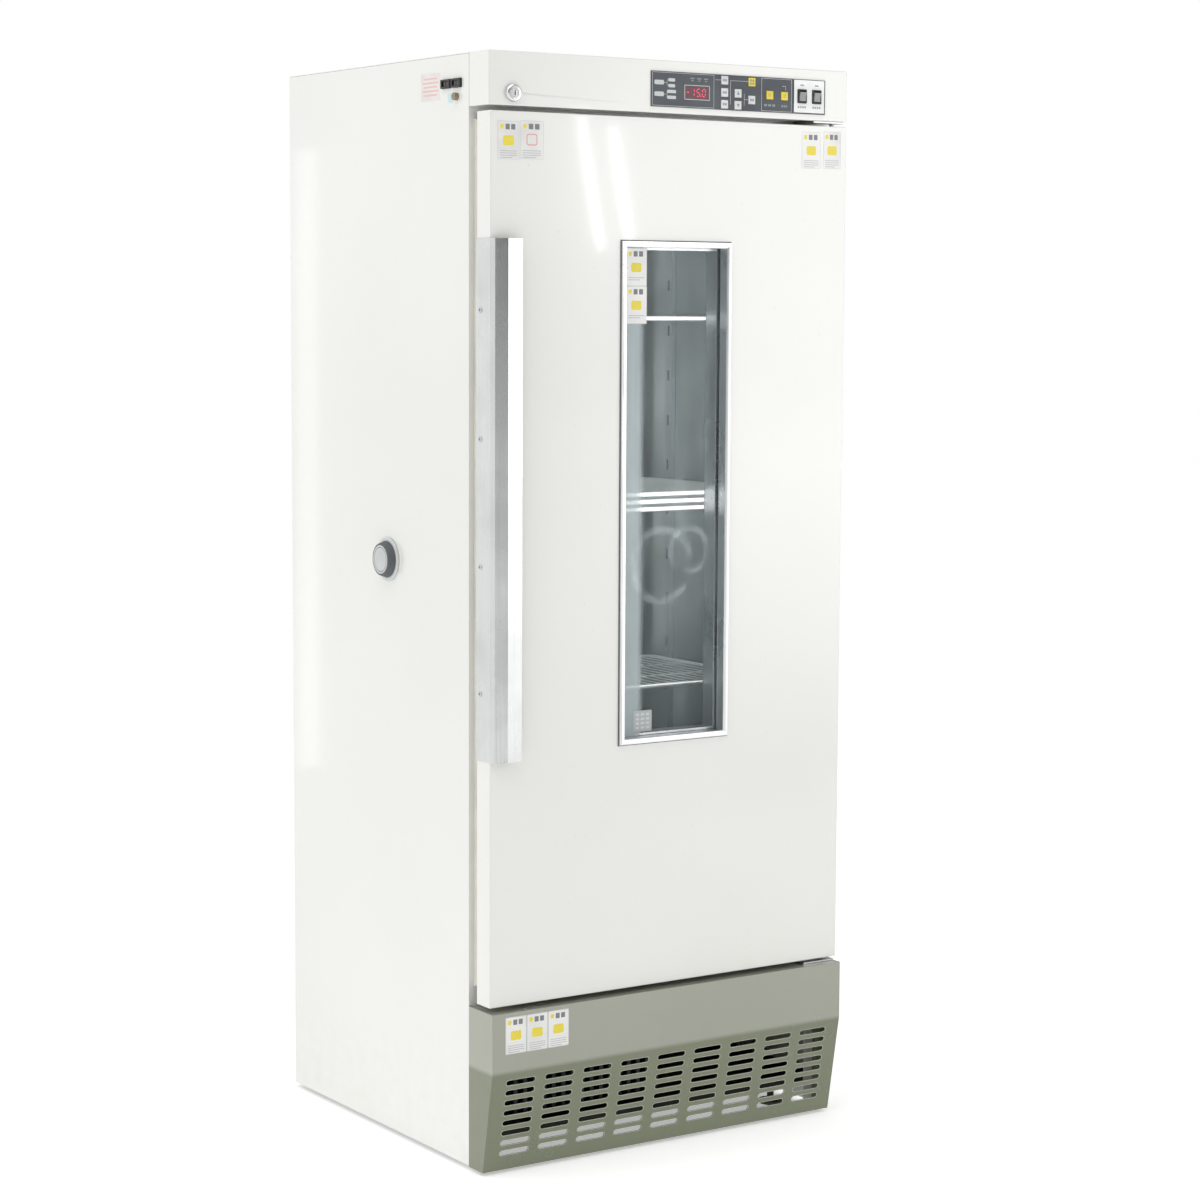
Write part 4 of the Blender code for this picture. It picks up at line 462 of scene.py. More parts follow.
def wire_shelf(node):
    low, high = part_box(node)
    shelf = Pattern(f"{node}_wires")
    across = shelf.size("Width", high.x - low.x)
    deep = shelf.size("Depth", high.y - low.y)
    thick = shelf.size("Rim Rod Radius", (high.z - low.z) / 2 - 0.0001)
    fine = shelf.size("Wire Radius", 0.0016)
    rim = shelf.tube(shelf.oblong(across - thick * 2.0, deep - thick * 2.0, 0.016), thick, 12)
    cross = []
    for share in (-0.17, 0.17):
        left_end = shelf.spot(across * -0.5 + thick, deep * share, -0.0008)
        right_end = shelf.spot(across * 0.5 - thick, deep * share, -0.0008)
        cross.append(shelf.tube(shelf.line(left_end, right_end), fine * 1.6, 8))
    seats = shelf.seats(shelf.size("Wires", 27), shelf.spot(across * -0.46), shelf.spot(across * 0.46))
    front_end = shelf.spot(y=deep * -0.5 + thick * 0.6, z=thick - fine)
    back_end = shelf.spot(y=deep * 0.5 - thick * 0.6, z=thick - fine)
    strands = shelf.instances(seats, shelf.tube(shelf.line(front_end, back_end), fine, 8))
    whole = shelf.coloured(shelf.joined(rim, *cross, strands), shelf.size("Wire", wire_steel))
    piece = placed_mesh(f"{node}_rack", rounded(shelf.run(whole)), rides_on[node],
                        Matrix.Translation((low + high) / 2))
    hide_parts(node)


for node in ("shelf_lower", "shelf_middle_1", "shelf_middle_2", "shelf_middle_3", "shelf_upper"):
    wire_shelf(node)


# Header
# A folded steel box across the top, sprayed like the cabinet. Its front carries a printed
# overlay with the keys and the display, a switch plate and the door's lock.

eased("header_cover", enamel, corner=0.0022, edge=0.0004)


def moulded(name, colour, roughness, texture, depth, shade=0.86, **surface):
    """Moulded plastic or rubber: a fine spark-eroded texture, handled a little smoother in places."""
    plastic = Finish(name, **surface)
    worn = plastic.rise(plastic.noise(14.0, 5.0), 0.35, 0.7)
    plastic.wear(Base_Color=plastic.blend(worn, colour, tone(colour, shade)),
                 Roughness=worn * 0.12 + roughness)
    plastic.relief(plastic.noise(texture, 2.0), depth)
    return plastic


overlay = moulded("charcoal_overlay", (0.058, 0.068, 0.082), 0.36, 1500.0, 0.00001)
eased("control_panel", overlay, edge=0.0002)
panel_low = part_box("control_panel")[0]


def bar(u, v, width, height, corner=0.0):
    """An upright rectangle round u, v with rounded corners."""
    points = []
    for i, (su, sv) in enumerate(((1, 1), (-1, 1), (-1, -1), (1, -1))):
        cu, cv = u + su * (width / 2 - corner), v + sv * (height / 2 - corner)
        for step in range(4) if corner else (0,):
            angle = quarter_turn * (i + step / 3)
            points.append((cu + corner * math.cos(angle), cv + corner * math.sin(angle)))
    return points, None


def box_line(u, v, width, height, line, corner=0.0):
    """The outline of a rectangle, drawn inwards from its edge."""
    return bar(u, v, width, height, corner)[0], bar(u, v, width - 2 * line, height - 2 * line,
                                                     max(corner - line, corner * 0.3))[0]


def delta(u, v, size, turn=1.0):
    """An upright triangle with its middle at u, v."""
    return [(u, v + size * 0.54 * turn), (u - size / 2, v - size * 0.36 * turn),
            (u + size / 2, v - size * 0.36 * turn)], None


def hoop(u, v, *radii):
    """A flat ring between an outer and an inner radius."""
    circle = [(math.cos(a * math.pi / 16), math.sin(a * math.pi / 16)) for a in range(32)]
    return [[(u + radius * c, v + radius * s) for c, s in circle] for radius in radii]


def laid(name, shapes, plane, low, high, finish, body):
    """Flat shapes on a plane, each a thin closed slab from low to high above it. A shape is an
    outer loop and an inner one, or None where it has no hole."""
    mesh = bmesh.new()
    for outer, inner in shapes:
        loops = [outer] if inner is None else [outer, inner]
        bottom = [[mesh.verts.new(plane @ Vector((u, v, low))) for u, v in loop] for loop in loops]
        top = [[mesh.verts.new(plane @ Vector((u, v, high))) for u, v in loop] for loop in loops]
        if inner is None:
            mesh.faces.new(bottom[0])
            mesh.faces.new(top[0])
        for i in range(len(outer)):
            j = (i + 1) % len(outer)
            for a, b in zip(bottom, top):
                mesh.faces.new((a[i], a[j], b[j], b[i]))
            if inner is not None:
                for a, b in (bottom, top):
                    mesh.faces.new((a[i], a[j], b[j], b[i]))
    bmesh.ops.recalc_face_normals(mesh, faces=mesh.faces)
    return finished(name, mesh, finish, body)


def facing_front(y):
    """A plane whose u runs right, v up and height forwards, at that depth."""
    return Matrix(((1, 0, 0, 0), (0, 0, -1, y), (0, 1, 0, 0), (0, 0, 0, 1)))


def ink(name, colour, roughness=0.4):
    print_ink = Finish(name, Roughness=roughness)
    patchy = print_ink.rise(print_ink.noise(700.0, 3.0), 0.3, 0.75)
    print_ink.wear(Base_Color=print_ink.blend(patchy, colour, tone(colour, 0.88)))
    print_ink.relief(print_ink.noise(1800.0), 0.000004)
    return print_ink


pale_ink = ink("pale_ink", (0.60, 0.62, 0.62))
grey_ink = ink("grey_ink", (0.26, 0.28, 0.29))
keys = {name: (sum(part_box(name), Vector()) / 2) for name in rides_on if name.startswith("key_")}
display_low, display_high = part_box("display_module")
display = (display_low + display_high) / 2
plate_low, plate_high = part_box("switch_plate")
stroke, field_height, field_z = 0.0006, 0.0530, panel_low.z + 0.0282
heat, cool, light = keys["key_heat"], keys["key_cool"], keys["key_light"]
panel_lines = [
    box_line(panel_low.x + 0.0625, field_z, 0.1215, field_height, stroke),
    box_line((heat.x + cool.x) / 2 - 0.001, field_z, 0.0620, field_height, stroke),
]
trunk_left = keys["key_1"].x + 0.0118
trunk_right = keys["key_up"].x + 0.0128
top_row, low_row = keys["key_1"].z, keys["key_3"].z
panel_lines += [
    bar(trunk_left, (top_row + low_row) / 2, stroke, top_row - low_row + stroke),
    bar((trunk_left + keys["key_start"].x) / 2, top_row, keys["key_start"].x - trunk_left, stroke),
    bar(trunk_right, light.z, stroke, 0.0190),
    bar((trunk_right + light.x) / 2, light.z, light.x - trunk_right, stroke),
    bar((trunk_left + trunk_right) / 2, keys["key_down"].z - 0.0095, trunk_right - trunk_left, stroke),
    bar((panel_low.x + 0.1245 + keys["key_1"].x) / 2, top_row, 0.016, stroke),
    box_line(display.x, display.z, 0.0500, 0.0235, 0.0011, 0.0010),
]
tags, captions = [], []
for row, tag_width in enumerate((0.0135, 0.0135, 0.0175, 0.0175)):
    tags.append(bar(panel_low.x + 0.0395, panel_low.z + 0.0432 - row * 0.0092, tag_width, 0.0052, 0.0018))
for row in (0, 1):
    middle_z = panel_low.z + 0.0386 - row * 0.0184
    tags.append(bar(panel_low.x + 0.0152, middle_z, 0.0185, 0.0072, 0.0020))
    panel_lines.append(bar(panel_low.x + 0.0276, middle_z, 0.0066, stroke))
    panel_lines.append(bar(panel_low.x + 0.0306, middle_z, stroke, 0.0098))
for i in range(3):
    u = display.x + (i - 1) * 0.0135 + 0.004
    captions.append(bar(u, display.z + 0.0222, 0.0082, 0.0020, 0.0006))
    captions.append(bar(u, display.z + 0.0186, 0.0046, 0.0016, 0.0006))
for key, width in ((heat, 0.0250), (cool, 0.0130)):
    captions += [bar(key.x + (i - 1) * width / 3, key.z - 0.0165, width / 3 * 0.7, 0.0036, 0.0004)
                 for i in range(3)]
panel_lines.append(bar(cool.x - 0.001, cool.z + 0.0158, 0.0070, stroke))
panel_lines.append(bar(cool.x + 0.0025, cool.z + 0.0125, stroke, 0.0065))
front_print = facing_front(panel_low.y)
sunk, printed, glued, over_paper = -0.0001, 0.00008, 0.00012, 0.00018
laid("panel_lines", panel_lines, front_print, sunk, printed, pale_ink, "cabinet")
laid("panel_tags", tags, front_print, sunk, 0.00010, pale_ink, "cabinet")
laid("panel_captions", captions, front_print, sunk, printed, grey_ink, "cabinet")


# Display
# A red light-emitting display behind a dark red filter: three sloping seven-bar figures that
# show a plain number.

filter_red = mottled("display_filter", 0.12, (260.0,), (0.100, 0.012, 0.028), (0.070, 0.009, 0.020),
                     (40.0,), 0.000004)
dress(filter_red, "display_module")
glow = Finish("lit_segments", Base_Color=(0.75, 0.05, 0.10), Roughness=0.3, Emission_Strength=0.55)
glow.wear(Emission_Color=glow.blend(glow.noise(900.0), (0.95, 0.07, 0.17), (0.72, 0.05, 0.13)))
ghost = ink("unlit_segments", (0.16, 0.012, 0.03), 0.2)


def figure(u, v, lit, size=0.0115, thick=0.0015):
    """The bars of one figure: lit names the bars that glow, top first and then clockwise, middle last."""
    wide, half, slant = size * 0.52, size / 2, 0.10
    bars = {}
    for name, (x, z, flat) in {
        "a": (0, half, True), "b": (wide / 2, half / 2, False), "c": (wide / 2, -half / 2, False),
        "d": (0, -half, True), "e": (-wide / 2, -half / 2, False), "f": (-wide / 2, half / 2, False),
        "g": (0, 0, True),
    }.items():
        reach, t = (wide / 2 if flat else half / 2) - thick * 0.45, thick / 2
        ends = [(-reach, 0), (-reach + t, -t), (reach - t, -t), (reach, 0), (reach - t, t), (-reach + t, t)]
        spots = [(x + p, z + q) if flat else (x + q, z + p) for p, q in ends]
        bars[name] = ([(u + p + slant * q, v + q) for p, q in spots], None)
    return [bars[n] for n in bars if n in lit], [bars[n] for n in bars if n not in lit]


bright, dim = [], []
for offset, lit in ((-0.0085, "bc"), (0.0025, "acdfg"), (0.0135, "abcdef")):
    on, off = figure(display.x + offset, display.z, lit)
    bright += on
    dim += off
bright.append(bar(display.x + 0.0072, display.z - 0.0056, 0.0015, 0.0015))
bright.append(bar(display.x - 0.0180, display.z, 0.0046, 0.0014))
module_face = facing_front(display_low.y)
laid("display_figures", bright, module_face, sunk, 0.00010, glow, "cabinet")
laid("display_unlit_bars", dim, module_face, sunk, 0.00006, ghost, "cabinet")


# Keys
# Square moulded keycaps under a soft film, white for the settings and yellow for the functions.
# Each stands a millimetre proud of the overlay and carries a plain printed mark.

key_white = moulded("key_white", (0.74, 0.76, 0.76), 0.38, 1200.0, 0.00001)
key_yellow = moulded("key_yellow", (0.86, 0.68, 0.055), 0.38, 1200.0, 0.00001)
for name, at in keys.items():
    yellow = name in ("key_start", "key_heat", "key_cool")
    cap, plastic = (key_yellow, "yellow_plastic") if yellow else (key_white, "white_plastic")
    eased(name, cap, edge=0.0006)
    if name in ("key_up", "key_down"):
        marks = [delta(at.x, at.z, 0.0062, 1.0 if name == "key_up" else -1.0)]
    elif name == "key_start":
        marks = [bar(at.x + (i - 0.5) * 0.0048, at.z + (j - 0.5) * 0.0048, 0.0034, 0.0034)
                 for i in (0, 1) for j in (0, 1)]
    elif yellow:
        marks = [hoop(at.x, at.z, 0.0024, 0.0017)]
    else:
        marks = [bar(at.x + (i - 0.5) * 0.0044, at.z, 0.0032, 0.0040, 0.0004) for i in (0, 1)]
    laid(f"{name}_mark", marks, facing_front(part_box(name)[0].y), sunk, 0.00006, grey_ink,
         rides_on[name])


# Mains and lamp switches
# Two grey rockers in one black moulded block, clipped in behind a white plate. The plate is
# printed with plain grey bars and squares above and below them.

plate_white = moulded("plate_white", (0.90, 0.91, 0.91), 0.34, 900.0, 0.00001)
black_moulding = moulded("black_moulding", (0.018, 0.018, 0.020), 0.34, 1100.0, 0.00002)
rocker_grey = moulded("rocker_grey", (0.30, 0.31, 0.30), 0.32, 1100.0, 0.00001)
eased("switch_plate", plate_white, edge=0.0002)
eased("switch_block", black_moulding, edge=0.0004)
plate_marks = []
for rocker in ("power_switch", "lamp_switch"):
    eased(rocker, rocker_grey, edge=0.0003)
    at = sum(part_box(rocker), Vector()) / 2
    plate_marks.append(bar(at.x, plate_high.z - 0.0085, 0.0075, 0.0024, 0.0006))
    plate_marks += [bar(at.x + (i - 1.5) * 0.0046, plate_low.z + 0.0088, 0.0034, 0.0034, 0.0004)
                    for i in range(4)]
laid("switch_captions", plate_marks, facing_front(plate_low.y), sunk, printed,
     ink("soft_grey_ink", (0.36, 0.37, 0.37)), "cabinet")


# Door lock
# A chromed barrel lock set through the header's front, with a turned and polished rim. Its keyed
# plug swings a cam down into the door's top edge.

chrome = metal("polished_chrome", (0.80, 0.80, 0.81), (0.66, 0.66, 0.67), 0.05, (1, 1, 1), 60.0, 0.000004)
eased("lock_barrel", chrome, edge=0.0003)
eased("lock_plug", chrome, edge=0.0002)


# Door hinges
# Zinc-plated angle brackets above and below the door, each with a pin that the door's shell
# turns on. Their long leg lies in the gap between the door and the header or the lower cover.

eased("hinge_upper", zinc, edge=0.0004)
eased("hinge_lower", zinc, edge=0.0004)


# Door
# A folded and sprayed steel tray, closed behind by a moulded inner panel that carries the
# magnetic gasket. The tray's front edges are rolled to a small radius.

eased("door_outer_panel", enamel, corner=0.0026, edge=0.0004)
inner_white = moulded("inner_panel_white", (0.76, 0.77, 0.75), 0.36, 500.0, 0.00003, 0.97)
eased("door_inner_panel", inner_white, corner=0.0020, edge=0.0008)
gasket_cream = moulded("gasket_cream", (0.78, 0.76, 0.66), 0.55, 300.0, 0.00005)


def strip_frame(node, profile, body, name, finish, parts=(0, 1, 2, 3), gap=0.0, replaced=True):
    """Mitred lengths of one profile round a node's box. A profile point is (inwards, forwards)."""
    low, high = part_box(node)
    corners = [(low.x, low.z), (high.x, low.z), (high.x, high.z), (low.x, high.z)]
    mesh = bmesh.new()
    for part in parts:
        (x0, z0), (x1, z1) = corners[part], corners[(part + 1) % 4]
        length = abs(x1 - x0) + abs(z1 - z0)
        run = Vector(((x1 - x0) / length, 0, (z1 - z0) / length))
        inward = Vector((-run.z, 0, run.x))
        ends = []
        for at, way in ((Vector((x0, high.y, z0)), 1), (Vector((x1, high.y, z1)), -1)):
            ends.append([mesh.verts.new(at + inward * u + run * way * (u + gap) + Vector((0, -w, 0)))
                         for u, w in profile])
        for end in ends:
            mesh.faces.new(end)
        for i in range(len(profile)):
            j = (i + 1) % len(profile)
            mesh.faces.new((ends[0][i], ends[0][j], ends[1][j], ends[1][i]))
    bmesh.ops.recalc_face_normals(mesh, faces=mesh.faces)
    return finished(name, mesh, finish, body, (node,) if replaced else ())


pleats = [(0.0, 0.0), (0.0, 0.0030), (0.0016, 0.0052), (0.0012, 0.0068), (0.0034, 0.0088),
          (0.0126, 0.0088), (0.0148, 0.0068), (0.0144, 0.0052), (0.0160, 0.0030), (0.0160, 0.0)]
strip_frame("door_gasket", pleats, "door", "door_gasket_pleats", gasket_cream)


# Window
# Two panes with a spacer between, held by a mitred frame of brushed and anodised aluminium with
# a thin dark bead round it, painted shadow for the shadow line at the frame's outer edge. The glass carries
# smears and two faint rings from wiping.

anodised, anodised_shade = (0.84, 0.85, 0.86), (0.70, 0.71, 0.72)
uprights = metal("brushed_trim_upright", anodised, anodised_shade, 0.20, (1.0, 1.0, 0.012), 700.0, 0.000008)
rails = metal("brushed_trim_rail", anodised, anodised_shade, 0.20, (0.012, 1.0, 1.0), 700.0, 0.000008)
trim_low, trim_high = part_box("window_trim")
pane_low, pane_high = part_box("window_pane_outer")
outer_low, outer_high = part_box("door_outer_panel")
proud = trim_high.y - trim_low.y
skin = trim_high.y - outer_low.y
section = [(0.0, skin + 0.0004), (0.0, proud - 0.0022), (0.0008, proud - 0.0010), (0.0022, proud - 0.0010),
           (0.0026, proud), (0.0074, proud), (0.0094, proud - 0.0016), (0.0094, 0.0), (0.0088, 0.0),
           (0.0088, skin + 0.0004)]
mitre_gap = 0.00008
for name, lengths, parts in (("rails", rails, (0, 2)), ("uprights", uprights, (1, 3))):
    strip_frame("window_trim", section, "door", f"window_trim_{name}", lengths, parts,
                mitre_gap)
# Painted shadow: the bead round the frame is coloured dark to stand for the shadow line along the frame's
# outer edge.
trim_painted_shadow = mottled("trim_shadow_line", 0.6, (120.0,), (0.16, 0.16, 0.15), (0.09, 0.09, 0.085),
                  (500.0,), 0.00002)
bead = [(-0.0014, skin + 0.0001), (-0.0014, skin + 0.0010), (0.0001, skin + 0.0016), (0.0001, skin + 0.0001)]
strip_frame("window_trim", bead, "door", "window_trim_painted_shadow", trim_painted_shadow, replaced=False)
dress(rails, "window_spacer")

glass = Finish("wiped_glass", Base_Color=(0.60, 0.69, 0.71), Roughness=0.03, Ior=1.5)
pane_x, pane_z = (pane_low.x + pane_high.x) / 2, (pane_low.z + pane_high.z) / 2
smears = glass.rise(glass.noise(16.0, 6.0, (1.0, 1.0, 0.35)), 0.50, 0.78)
streaks = glass.rise(glass.noise(34.0, 3.0, (1.0, 1.0, 0.06)), 0.52, 0.80)


def swirl(x, z, radius, width):
    """A wiped ring on the glass, broken by the noise of the cloth."""
    dx, dz = glass.along("X") - x, glass.along("Z") - z
    away = glass.add("ShaderNodeMath", {"operation": "SQRT"}, {0: dx * dx + dz * dz})
    off = glass.add("ShaderNodeMath", {"operation": "ABSOLUTE"}, {0: away - radius})
    return glass.rise(off, width, 0.0) * glass.rise(glass.noise(28.0, 4.0), 0.30, 0.62)


wiped_rings = (swirl(pane_x - 0.014, pane_z - 0.118, 0.058, 0.011)
               + swirl(pane_x + 0.040, pane_z - 0.095, 0.036, 0.009))
mirror = glass.add("ShaderNodeFresnel", sockets={"IOR": 1.5})
# Painted reflection: a pale band near the pane's left edge stands for the reflection of a bright part of the
# room. The Fresnel term also lets the pale base colour show at grazing angles, a painted reflection beside
# the real gloss.
left_painted_reflection = glass.rise(glass.along("X"), pane_low.x + 0.056, pane_low.x + 0.040)
glass.wear(Alpha=smears * 0.11 + streaks * 0.10 + wiped_rings * 0.20 + left_painted_reflection * 0.50 + mirror * 0.7 + 0.01)
glass.relief(glass.noise(3.0), 0.00002)
# Painted reflection: the Fresnel term in the inner pane's alpha lets its pale base colour show at grazing
# angles.
clear = Finish("inner_glass", Base_Color=(0.50, 0.58, 0.57), Roughness=0.03, Ior=1.5)
clear.wear(Alpha=clear.rise(clear.noise(11.0, 5.0), 0.45, 0.85) * 0.05
           + clear.add("ShaderNodeFresnel", sockets={"IOR": 1.5}) * 0.8 + 0.03)
clear.relief(clear.noise(3.0), 0.00002)
dress(glass, "window_pane_outer")
dress(clear, "window_pane_inner")


# Notice cards
# Small laminated paper cards on the door, the glass and the lower cover. They carry plain
# coloured blocks and grey bars, and no wording.

paper = moulded("laminated_paper", (0.82, 0.82, 0.80), 0.30, 700.0, 0.000006)
card_yellow = ink("card_yellow", (0.84, 0.70, 0.06))
rose = ink("rose_ink", (0.78, 0.36, 0.36))
dark_bars = ink("dark_bars", (0.20, 0.21, 0.22))
fine_bars = ink("fine_bars", (0.50, 0.51, 0.52))
edge_ink = ink("card_edge", (0.52, 0.53, 0.53))
door_plane = facing_front(outer_low.y)
pane_plane = facing_front(pane_low.y)


def card(name, u, v, width, height, plane, body, outlined=False, lines=4):
    """A card round u, v: a heading of one small block and two bars, a large mark, and short lines."""
    heading, inset = v + height / 2 - 0.0090, 0.0004
    edge = box_line(u, v, width - 2 * inset, height - 2 * inset, inset, 0.0014)
    sheet = bar(u, v, width, height, 0.0016)
    laid(f"{name}_paper", [sheet], plane, sunk, glued, paper, body)
    laid(f"{name}_edge", [edge], plane, 0.0, 0.00016, edge_ink, body)
    blocks = [bar(u - width * 0.30, heading, 0.0062, 0.0068, 0.0010)]
    if not outlined:
        blocks.append(bar(u, v - 0.0005, 0.0200, 0.0150, 0.0030))
    outline = [box_line(u, v + 0.0005, 0.0200, 0.0180, 0.0018, 0.0040)] if outlined else []
    bars = [bar(u + (i - 0.15) * width * 0.26, heading, width * 0.19, 0.0085, 0.0006) for i in (0, 1)]
    small = [bar(u + (0.0 if i < lines - 1 else -0.004), v - height * 0.28 - i * 0.0034,
                 width * (0.78 if i < lines - 1 else 0.56), 0.0011) for i in range(lines)]
    for part, shapes, finish in (("blocks", blocks, card_yellow), ("outline", outline, rose),
                                 ("bars", bars, dark_bars), ("lines", small, fine_bars)):
        if shapes:
            laid(f"{name}_{part}", shapes, plane, 0.0, over_paper, finish, body)


card("door_card_1", outer_low.x + 0.0327, outer_high.z - 0.0449, 0.0396, 0.0589, door_plane, "door")
card("door_card_2", outer_low.x + 0.0756, outer_high.z - 0.0434, 0.0437, 0.0593, door_plane, "door", True)
card("door_card_3", outer_high.x - 0.0735, outer_high.z - 0.0409, 0.0400, 0.0607, door_plane, "door")
card("door_card_4", outer_high.x - 0.0299, outer_high.z - 0.0394, 0.0363, 0.0609, door_plane, "door")
card("pane_card_1", pane_low.x + 0.0357, trim_high.z - 0.0412, 0.0406, 0.0603, pane_plane, "door", lines=2)
card("pane_card_2", pane_low.x + 0.0361, trim_high.z - 0.1016, 0.0406, 0.0603, pane_plane, "door", lines=2)
note_u, note_v = pane_low.x + 0.0530, trim_low.z + 0.0339
note_paper = moulded("note_paper", (0.42, 0.45, 0.45), 0.4, 700.0, 0.000006)
note_bars = [bar(note_u + (i - 1.0) * 0.0100, note_v + (j - 1.5) * 0.0072, 0.0068, 0.0040, 0.0006)
             for i in range(3) for j in range(4)]
laid("pane_note", [bar(note_u, note_v, 0.0365, 0.0345, 0.001)], pane_plane, sunk, glued, note_paper,
     "door")
laid("pane_note_bars", note_bars, pane_plane, 0.0, over_paper, pale_ink, "door")


# Grip strip
# One length of satin anodised extrusion along the door's free edge. Its plate is screwed to the
# door's side, and its hump ends in a lip that the fingers reach behind.

strip = metal("satin_strip", (0.73, 0.74, 0.74), (0.53, 0.54, 0.53), 0.17, (1.0, 1.0, 0.010), 520.0, 0.000008)
eased("door_handle", strip, edge=0.0005, sharp=0.4)
grip_low, grip_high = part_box("door_handle")
seat_x, seat_y = grip_low.x + 0.0004, outer_low.y + 0.0265
screw_row("grip_screws", (seat_x, seat_y, grip_low.z + 0.1065), (seat_x, seat_y, grip_high.z - 0.1108),
          4, 0.0050, (0.0, -quarter_turn, 0.0), "door")


# Lower cover
# A bent steel cover in taupe enamel over the machinery, upright above and raked back below the
# bend, where nine columns of slots let the condenser breathe. Each slot has a rolled lip, painted
# paler than the cover as a painted highlight. Below the bend the enamel is painted darker: painted shade.

cover_low, cover_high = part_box("lower_front_cover")
bend_z, toe_y = 0.174, cover_low.y + 0.0294
rows, row_pitch = 8, 0.0174
taupe = sprayed("taupe_enamel", (0.345, 0.355, 0.295), (0.320, 0.330, 0.270), 0.22, 0.000030)
# Painted shade: the raked face below the bend is darkened towards olive, standing in for the shade it gets by
# facing away from the light.
raked_painted_shade = taupe.rise(taupe.along("Z"), bend_z + 0.004, bend_z - 0.006)
taupe.overlaid(raked_painted_shade * 0.72, (0.100, 0.120, 0.045))
# Painted highlight: the lips take a paler copy of the taupe paint, standing in for the light caught along the
# slot edges.
lip_painted_highlight = sprayed("taupe_lip", (0.50, 0.52, 0.44), (0.44, 0.46, 0.38), 0.22, 0.000030)
eased("lower_front_cover", taupe, edge=0.0005)
rake = math.atan2(toe_y - cover_low.y, bend_z - cover_low.z)


# A lip is a thin bead round an obround slot. Half the grid's height and the top slot's distance
# from the bend bring it into place.
field = Pattern("cover_slot_lips")
columns, lines = field.size("Columns", 9), field.size("Rows", rows)
long, tall = field.size("Slot Length", 0.0560), field.size("Slot Height", 0.0095)
across, down = field.size("Pitch Across", 0.0736), field.size("Pitch Down", row_pitch)
grid = field.add("GeometryNodeMeshGrid", sockets={
    "Size X": across * (columns - 1), "Size Y": down * (lines - 1),
    "Vertices X": columns, "Vertices Y": lines})
rim = field.oblong(long, tall, tall * 0.499, **{"Limit Radius": True})
lips = field.instances(grid, field.tube(rim, field.size("Lip Radius", 0.0006), 6))
slope = (Matrix.Translation((middle, cover_low.y, bend_z)) @ Matrix.Rotation(rake, 4, "X")
         @ Matrix.Translation((0, 0.0003, -0.0193 - (rows - 1) / 2 * row_pitch))
         @ Matrix.Rotation(quarter_turn, 4, "X"))
placed_mesh("cover_slot_lips", rounded(field.run(field.coloured(lips, field.size("Paint", lip_painted_highlight)))),
            "cabinet", slope)
cover_plane = facing_front(cover_low.y)
for i in range(3):
    card(f"cover_card_{i + 1}", cover_low.x + 0.0441 + i * 0.0402, cover_high.z - 0.0372, 0.0394, 0.0600,
         cover_plane, "cabinet")


# Cable port
# A moulded flange on the left side lines a tube into the chamber. A rubber plug with a pale
# pressed face closes it.

flange_white = moulded("flange_white", (0.74, 0.77, 0.76), 0.32, 600.0, 0.00002)
eased("port_flange", flange_white, edge=0.0008)
plug_rubber = moulded("plug_rubber", (0.115, 0.130, 0.135), 0.55, 380.0, 0.00005)
eased("port_plug", plug_rubber, edge=0.0012)
plug_low, plug_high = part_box("port_plug")
facing_left = Matrix(((0, 0, -1, plug_low.x), (-1, 0, 0, 0), (0, 1, 0, 0), (0, 0, 0, 1)))
port_u, port_v = -(plug_low.y + plug_high.y) / 2, (plug_low.z + plug_high.z) / 2
laid("plug_face", [hoop(port_u, port_v, 0.0236, 0.0206), hoop(port_u, port_v, 0.0196, 0.0001)],
     facing_left, sunk, 0.00015, moulded("plug_face_grey", (0.58, 0.60, 0.60), 0.5, 420.0, 0.00003),
     "port_plug")


# Outlets and earth terminal
# Two black two-pin outlets with brass contacts high on the left side, a white bridge between
# them, and a brass earth screw below. A pale blue tag and a plain notice sit beside them.

eased("side_outlets", black_moulding, edge=0.0004)
brass = metal("terminal_brass", (0.46, 0.40, 0.27), (0.22, 0.19, 0.12), 0.32, (1, 1, 1), 220.0, 0.00001)
eased("earth_terminal", brass, edge=0.0004)
outlet_low, outlet_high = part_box("side_outlets")
outlet_v = (outlet_low.z + outlet_high.z) / 2
half_outlet, half_contacts = 0.0140, 0.0045
recess_plane, side_sheet = facing_left.copy(), facing_left.copy()
recess_plane.translation.x = outlet_low.x + 0.0024
side_sheet.translation.x = side_low.x
contacts = [bar(-y - offset, outlet_v, 0.0012, 0.0054)
            for y in (outlet_low.y + half_outlet, outlet_high.y - half_outlet)
            for offset in (-half_contacts, half_contacts)]
laid("outlet_contacts", contacts, recess_plane, -0.0002, 0.0003, brass, "cabinet")
laid("outlet_bridge", [bar(-(outlet_low.y + outlet_high.y) / 2, outlet_v, 0.0036, 0.0150)],
     side_sheet, -0.0010, 0.0004, enamel, "cabinet")
notice_u, notice_v = -(sheet_edge + 0.1177), 1.7320
notice_film = moulded("notice_film", (0.80, 0.77, 0.74), 0.3, 700.0, 0.000006)
notice_bars = [bar(notice_u, notice_v + 0.0128 - i * 0.0064, 0.0500 if i % 2 else 0.0420, 0.0026)
               for i in range(5)]
laid("side_notice", [bar(notice_u, notice_v, 0.0590, 0.0430, 0.0010)], side_sheet, sunk, glued,
     notice_film, "cabinet")
laid("side_notice_bars", notice_bars, side_sheet, 0.0, over_paper, ink("faded_rose", (0.82, 0.52, 0.50)),
     "cabinet")
laid("earth_tag", [bar(-(sheet_edge + 0.0550), 1.7110, 0.0150, 0.0150, 0.0012)], side_sheet, sunk, glued,
     ink("pale_blue_tag", (0.58, 0.76, 0.80)), "cabinet")


# Power inlet
# A black moulded three-pin inlet, fixed through the back panel. A detachable mains lead plugs
# into it.

eased("power_inlet", black_moulding, edge=0.0008)


